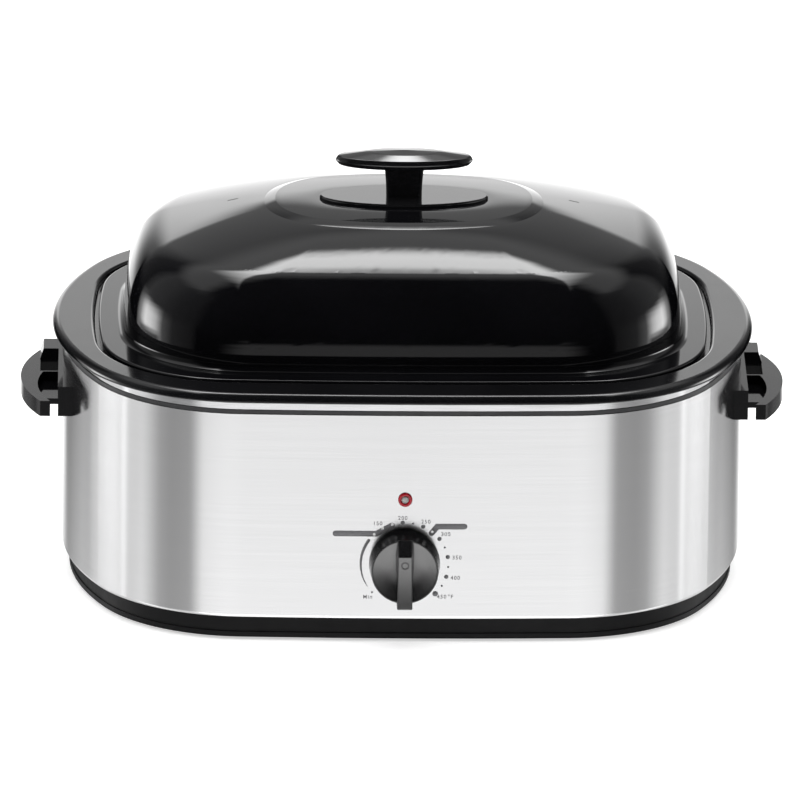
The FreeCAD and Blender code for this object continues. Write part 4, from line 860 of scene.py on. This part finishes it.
def lid_knob():
    """A crowned oval cap on a stem that flares towards it."""
    def stem(share):
        flare = share**2
        half_width = STEM_HALF_WIDTH + STEM_FLARE_WIDTH * flare
        half_depth = STEM_HALF_DEPTH + STEM_FLARE_DEPTH * flare
        centre = Vector((0, MIDDLE_Y, between(PLATE_TOP, STEM_TOP + STEM_LAP, share)))
        return rectangle_loop(half_width, half_depth, STEM_CORNER, centre)

    cap = round_oval(profile_runs(CAP_PROFILE, STEM_TOP), CAP_DEPTH_RATIO, MIDDLE_Y)
    cap_obj = loft("lid_knob_cap", cap)
    piece(loft("lid_knob_stem", [(stem, STEM_STEPS)]), "knob_plastic", "lid", material=LID_PLASTIC)
    piece(cap_obj, "knob_plastic", "lid", "lid_knob", material=LID_PLASTIC)


# ---- dial knob ----
DIAL = Matrix((
    (1, 0, 0, 0),
    (0, 0, -1, FRONT_Y * MM),
    (0, 1, 0, DIAL_HEIGHT * MM),
    (0, 0, 0, 1),
))


def dial_disc():
    """A tapered disc with a thin raised lip and a dished face."""
    return loft("dial_disc", round_oval(profile_runs(DISC_PROFILE)), place=DIAL)


def dial_bar():
    """The raised grip: a bar with sloping flanks, a wedge towards the top and a pointer end below."""
    stations = [(*BAR_NOSE, BAR_HALF_BASE[0])]
    for step in range(BAR_STEPS + 1):
        share = step / BAR_STEPS
        top = BAR_TOP - 4 * BAR_HOLLOW * share * (1 - share)
        half_top = between(*BAR_HALF_TOP, share)
        stations.append((between(*BAR_ENDS, share), top, half_top, between(*BAR_HALF_BASE, share)))
    points = []
    for y, top, half_top, half_base in stations:
        base = BAR_BASE_BELOW if y < 0 else BAR_BASE_ABOVE
        points += [
            Vector((-half_base, y, base)),
            Vector((-half_top, y, top)),
            Vector((half_top, y, top)),
            Vector((half_base, y, base)),
        ]
    end = len(points)
    faces = [(0, 1, 2, 3), (end - 1, end - 2, end - 3, end - 4)]
    for row in range(0, end - 4, 4):
        for side in range(4):
            here = row + side
            there = row + (side + 1) % 4
            faces.append((there, here, here + 4, there + 4))
    obj = mesh_object("dial_bar", points, faces, place=DIAL)
    round_edges(obj, BAR_BEVEL, BAR_BEVEL_ANGLE, BAR_BEVEL_SEGMENTS)
    return obj


def dial_ring():
    """The ring mark that stands on the bar."""
    runs = round_oval(profile_runs(RING_PROFILE, BAR_TOP), middle_y=RING_MARK_Y)
    return loft("dial_ring", runs, place=DIAL, caps=False)


# ---- pilot lamp ----
LAMP = Matrix.Translation((0, 0, (LAMP_HEIGHT - DIAL_HEIGHT) * MM)) @ DIAL


def lamp():
    """A red bezel on a barrel, and the small glass dome within it."""
    bezel = loft("lamp_bezel", round_oval(profile_runs(LAMP_PROFILE)), place=LAMP)

    def dome(share):
        turn = share * LAMP_DOME_TURN
        radius = LAMP_DOME_RADIUS * math.cos(turn)
        return oval_loop(radius, radius, LAMP_DOME_FOOT + LAMP_DOME_RISE * math.sin(turn))

    glass = loft("lamp_dome", [(dome, LAMP_DOME_STEPS)], place=LAMP)
    piece(glass, "lamp_red", "housing", material=LAMP_GLASS)
    piece(bezel, "lamp_red", "housing", "lamp_lens")


# ---- print round the dial ----
def on_dial(angle, radius=DOT_RADIUS):
    """A point at an angle clockwise from the top of the dial, in degrees."""
    turn = math.radians(angle)
    return Vector((radius * math.sin(turn), radius * math.cos(turn)))


def on_mark(mark):
    return on_dial(FIRST_MARK + MARK_STEP * mark)


def disc(centre, radius):
    """A dot, as corners and faces."""
    corners = [on_dial(-360 * step / DISC_STEPS, radius) + centre for step in range(DISC_STEPS)]
    return corners, [tuple(range(DISC_STEPS))]


def stroke(path, half_widths):
    """The outline of a line along a path, with round ends, as corners and faces."""
    ways = [(b - a).normalized() for a, b in zip(path, path[1:])]
    left = []
    right = []
    for number, (point, half_width) in enumerate(zip(path, half_widths)):
        after = ways[min(number, len(ways) - 1)]
        mitre = (ways[max(number - 1, 0)] + after).normalized()
        side = Vector((-mitre.y, mitre.x)) * (half_width / mitre.dot(after))
        left.append(point + side)
        right.append(point - side)

    def cap(centre, way, radius):
        start = math.degrees(math.atan2(way.x, way.y)) - 90
        return [on_dial(start + 180 * step / CAP_STEPS, radius) + centre for step in range(1, CAP_STEPS)]

    end_cap = cap(path[-1], ways[-1], half_widths[-1])
    start_cap = cap(path[0], -ways[0], half_widths[0])
    outline = left + end_cap + right[::-1] + start_cap
    outline.reverse()
    return outline, [tuple(range(len(outline)))]


def lettering(text, centre):
    """The flat faces of a short text in Blender's own font, as corners and faces."""
    curve = bpy.data.curves.new("figure", "FONT")
    curve.body = text
    curve.size = FIGURE_SIZE
    curve.space_character = FIGURE_SPACING
    curve.offset = FIGURE_WEIGHT
    curve.align_x = "CENTER"
    curve.align_y = "CENTER"
    helper = bpy.data.objects.new("figure", curve)
    bpy.context.scene.collection.objects.link(helper)
    bpy.context.view_layer.update()
    mesh = bpy.data.meshes.new_from_object(helper.evaluated_get(bpy.context.evaluated_depsgraph_get()))
    corners = [vertex.co.xy + Vector(centre) for vertex in mesh.vertices]
    faces = [tuple(face.vertices) for face in mesh.polygons]
    bpy.data.objects.remove(helper)
    bpy.data.curves.remove(curve)
    bpy.data.meshes.remove(mesh)
    return corners, faces


def printed(name, figures, material):
    """Flat figures as a thin film on the curved front."""
    points = []
    faces = []
    for corners, outlines in figures:
        faces += [tuple(len(points) + number for number in outline) for outline in outlines]
        for x, y in corners:
            points.append(Vector((x, y, PRINT_LIFT + math.sqrt(SHELL.front**2 - x**2) - SHELL.front)))
    obj = mesh_object(name, points, faces, place=DIAL)
    film = obj.modifiers.new("film", "SOLIDIFY")
    film.thickness = PRINT_DEPTH * MM
    return piece(obj, "black_plastic", "housing", material=material)


def dial_print():
    """The scale: dots, plain numbers, the tapering arc and the two bare bars with light pips."""
    figures = [disc(on_mark(mark), radius) for radius, marks in DOTS for mark in marks]
    figures.append(disc(on_dial(MIN_DOT_ANGLE), MIN_DOT))
    figures += [lettering(text, centre) for text, centre in FIGURES.items()]
    shares = [step / ARC_STEPS for step in range(ARC_STEPS + 1)]
    arc = [on_dial(between(*ARC_ENDS, share)) for share in shares]
    figures.append(stroke(arc, [ARC_TIP + ARC_HALF_WIDTH * (1 - share) ** ARC_TAPER for share in shares]))
    for bar in SCALE_BARS:
        figures.append(stroke([Vector(corner) for corner in bar], [SCALE_BAR_HALF_HEIGHT] * len(bar)))
    printed("dial_scale", figures, INK)
    pips = printed("dial_pips", [disc(on_mark(mark), PIP) for mark in PIP_MARKS], PIP_PAINT)
    for vertex in pips.data.vertices:
        vertex.co.y -= PRINT_DEPTH * MM


# ---- camera, floor and light ----
def camera():
    data = bpy.data.cameras.new("camera")
    data.sensor_width = SENSOR
    data.lens = CAMERA_LENS
    data.clip_start = 1.0
    data.clip_end = 200.0
    obj = bpy.data.objects.new("camera", data)
    bpy.context.scene.collection.objects.link(obj)
    flat = math.cos(CAMERA_ELEVATION)
    across = -math.sin(CAMERA_AZIMUTH) * flat
    back = Vector((across, -math.cos(CAMERA_AZIMUTH) * flat, math.sin(CAMERA_ELEVATION)))
    right = Vector((0, 0, 1)).cross(back).normalized()
    up = back.cross(right)
    target = AIM - right * AIM_RIGHT - up * AIM_UP
    turned_right = right * math.cos(CAMERA_ROLL) + up * math.sin(CAMERA_ROLL)
    turned_up = up * math.cos(CAMERA_ROLL) - right * math.sin(CAMERA_ROLL)
    place = Matrix((turned_right, turned_up, back)).transposed().to_4x4()
    place.translation = target + back * CAMERA_DISTANCE
    obj.matrix_world = place
    bpy.context.scene.camera = obj


def floor():
    """A plain pale floor that lights the matt surfaces. The glossy ones mirror the studio instead."""
    corners = [(x_sign * FLOOR_REACH, y_sign * FLOOR_REACH, 0) for x_sign, y_sign in QUARTERS]
    mesh = bpy.data.meshes.new("floor")
    mesh.from_pydata(corners, [], [(0, 1, 2, 3)])
    obj = bpy.data.objects.new("floor", mesh)
    bpy.context.scene.collection.objects.link(obj)
    finish = Finish("studio_floor", (0.8, 0.8, 0.8), 0.9)
    finish.colour(finish.noise(3), (0.79, 0.79, 0.79), (0.81, 0.81, 0.81))
    finish.set("Emission Color", (1, 1, 1, 1))
    finish.set("Emission Strength", FLOOR_LIGHT)
    finish.set("Specular IOR Level", 0.0)
    paint(obj, finish.material)
    obj.visible_glossy = False


class Sky(Nodes):
    """World nodes that work out radiance from a direction."""

    def __init__(self):
        world = bpy.data.worlds.new("studio")
        bpy.context.scene.world = world
        world.use_nodes = True
        self.tree = world.node_tree
        self.background = self.tree.nodes["Background"]
        self.direction = self.add("TexCoord").outputs["Generated"]

    def math(self, operation, *values):
        return self.add("Math", dict(enumerate(values)), operation=operation).outputs[0]

    def product(self, first, *others):
        for other in others:
            first = self.math("MULTIPLY", first, other)
        return first

    def ramp(self, value, low, high):
        """Rises smoothly from 0 to 1 as value goes from low to high, which may be the lower number."""
        edges = {"Value": value, "From Min": low, "From Max": high}
        return self.add("MapRange", edges, interpolation_type="SMOOTHSTEP").outputs[0]

    def window(self, value, low, high, soft):
        """1 between low and high, with edges of a softness."""
        rise = self.ramp(value, low - soft, low + soft)
        fall = self.ramp(value, high + soft, high - soft)
        return self.product(rise, fall)

    def curve(self, turn, stops):
        """Radiance by a turn in degrees, through (degrees, radiance) stops."""
        top = max(radiance for _, radiance in stops)
        node = self.add("ValToRGB", {"Fac": self.math("DIVIDE", turn, 180.0)})
        elements = node.color_ramp.elements
        while len(elements) > 1:
            elements.remove(elements[-1])
        for number, (degrees, radiance) in enumerate(stops):
            element = elements.new(degrees / 180) if number else elements[0]
            element.position = degrees / 180
            element.color = (*[radiance / top] * 3, 1)
        return self.product(node.outputs["Color"], top)

    def over(self, base, mask, radiance):
        """radiance where mask is 1, and base where it is 0."""
        return self.add("Mix", {0: mask, 2: base, 3: radiance}).outputs[0]


def studio():
    """The room as the glossy faces see it: walls, horizon, ceiling, softbox, and the floor with its strips."""
    sky = Sky()
    x, y, z = sky.add("SeparateXYZ", {"Vector": sky.direction}).outputs
    turn = sky.product(sky.math("ABSOLUTE", sky.math("ARCTAN2", x, sky.product(y, -1.0))), math.degrees(1))
    level = sky.product(sky.math("ARCSINE", z), math.degrees(1))
    rise = sky.math("MAXIMUM", z, LEAST_RISE)
    side = sky.math("ABSOLUTE", sky.math("DIVIDE", x, rise))
    back = sky.math("DIVIDE", y, rise)

    walls = sky.over(sky.curve(turn, HIGH_WALLS), sky.ramp(level, *WALL_CHANGE), sky.curve(turn, LOW_WALLS))
    horizon = sky.product(sky.ramp(turn, *HORIZON_TURN), sky.window(level, *HORIZON_LEVEL))
    walls = sky.over(walls, horizon, HORIZON_GLOW)

    ceiling = sky.ramp(sky.math("MULTIPLY_ADD", side, CEILING_SLANT, back), *CEILING_EDGE)
    above = sky.over(walls, sky.ramp(level, *CEILING_LEVEL), sky.product(ceiling, CEILING_GLOW))
    bowed = sky.math("MULTIPLY_ADD", sky.product(side, side), SOFTBOX_BOW, back)
    softbox = sky.product(sky.ramp(bowed, *SOFTBOX_FRONT), sky.ramp(back, *SOFTBOX_BACK))
    softbox = sky.product(softbox, sky.ramp(side, *SOFTBOX_END))
    above = sky.over(above, softbox, SOFTBOX_GLOW)

    radiance = sky.over(sky.curve(turn, FLOOR_GLOW), sky.ramp(level, *FLOOR_LEVEL), above)
    strip = sky.product(sky.ramp(turn, *STRIP_TURN), sky.window(level, *STRIP_LEVEL))
    radiance = sky.over(radiance, strip, STRIP_GLOW)
    apron = sky.product(sky.window(turn, *APRON_TURN), sky.ramp(level, *APRON_LEVEL))
    radiance = sky.over(radiance, apron, APRON_GLOW)

    radiance = sky.over(radiance, sky.add("LightPath").outputs["Is Camera Ray"], BACKDROP_GLOW)
    sky.feed(sky.background.inputs["Color"], radiance)
    sky.feed(sky.background.inputs["Strength"], 1.0)


def key_lights():
    """Soft panels that light the matt surfaces and cast the contact shadow."""
    for name, place, size, power in PANELS:
        data = bpy.data.lights.new(name, "AREA")
        data.shape = "SQUARE"
        data.size = size
        data.energy = power
        obj = bpy.data.objects.new(name, data)
        bpy.context.scene.collection.objects.link(obj)
        obj.location = place
        obj.rotation_mode = "QUATERNION"
        obj.rotation_quaternion = (Vector((0, 0, PANEL_AIM)) - Vector(place)).to_track_quat("-Z", "Y")
        obj.visible_glossy = False


# ---- the whole ----
SLOT_OF = {entry["node"]: entry["material_slot"] for entry in frame["record"]["subparts"]}


def dress_nodes():
    """Finishes for all the CAD nodes, and rounded edges for the moulded ones."""
    for name, obj in frame["nodes"].items():
        paint(obj, MATERIALS[SLOT_OF[name]])
        if name in EDGE_WIDTH:
            soften(obj, EDGE_WIDTH[name])


def main():
    bpy.context.scene.view_settings.view_transform = "Standard"
    camera()
    floor()
    studio()
    key_lights()
    dress_nodes()
    pan()
    lid()
    escutcheon()
    lid_knob()
    piece(dial_bar(), "knob_plastic", "control_knob")
    piece(dial_ring(), "knob_plastic", "control_knob", material=LID_PLASTIC)
    piece(dial_disc(), "knob_plastic", "control_knob", "dial_knob")
    lamp()
    dial_print()


main()
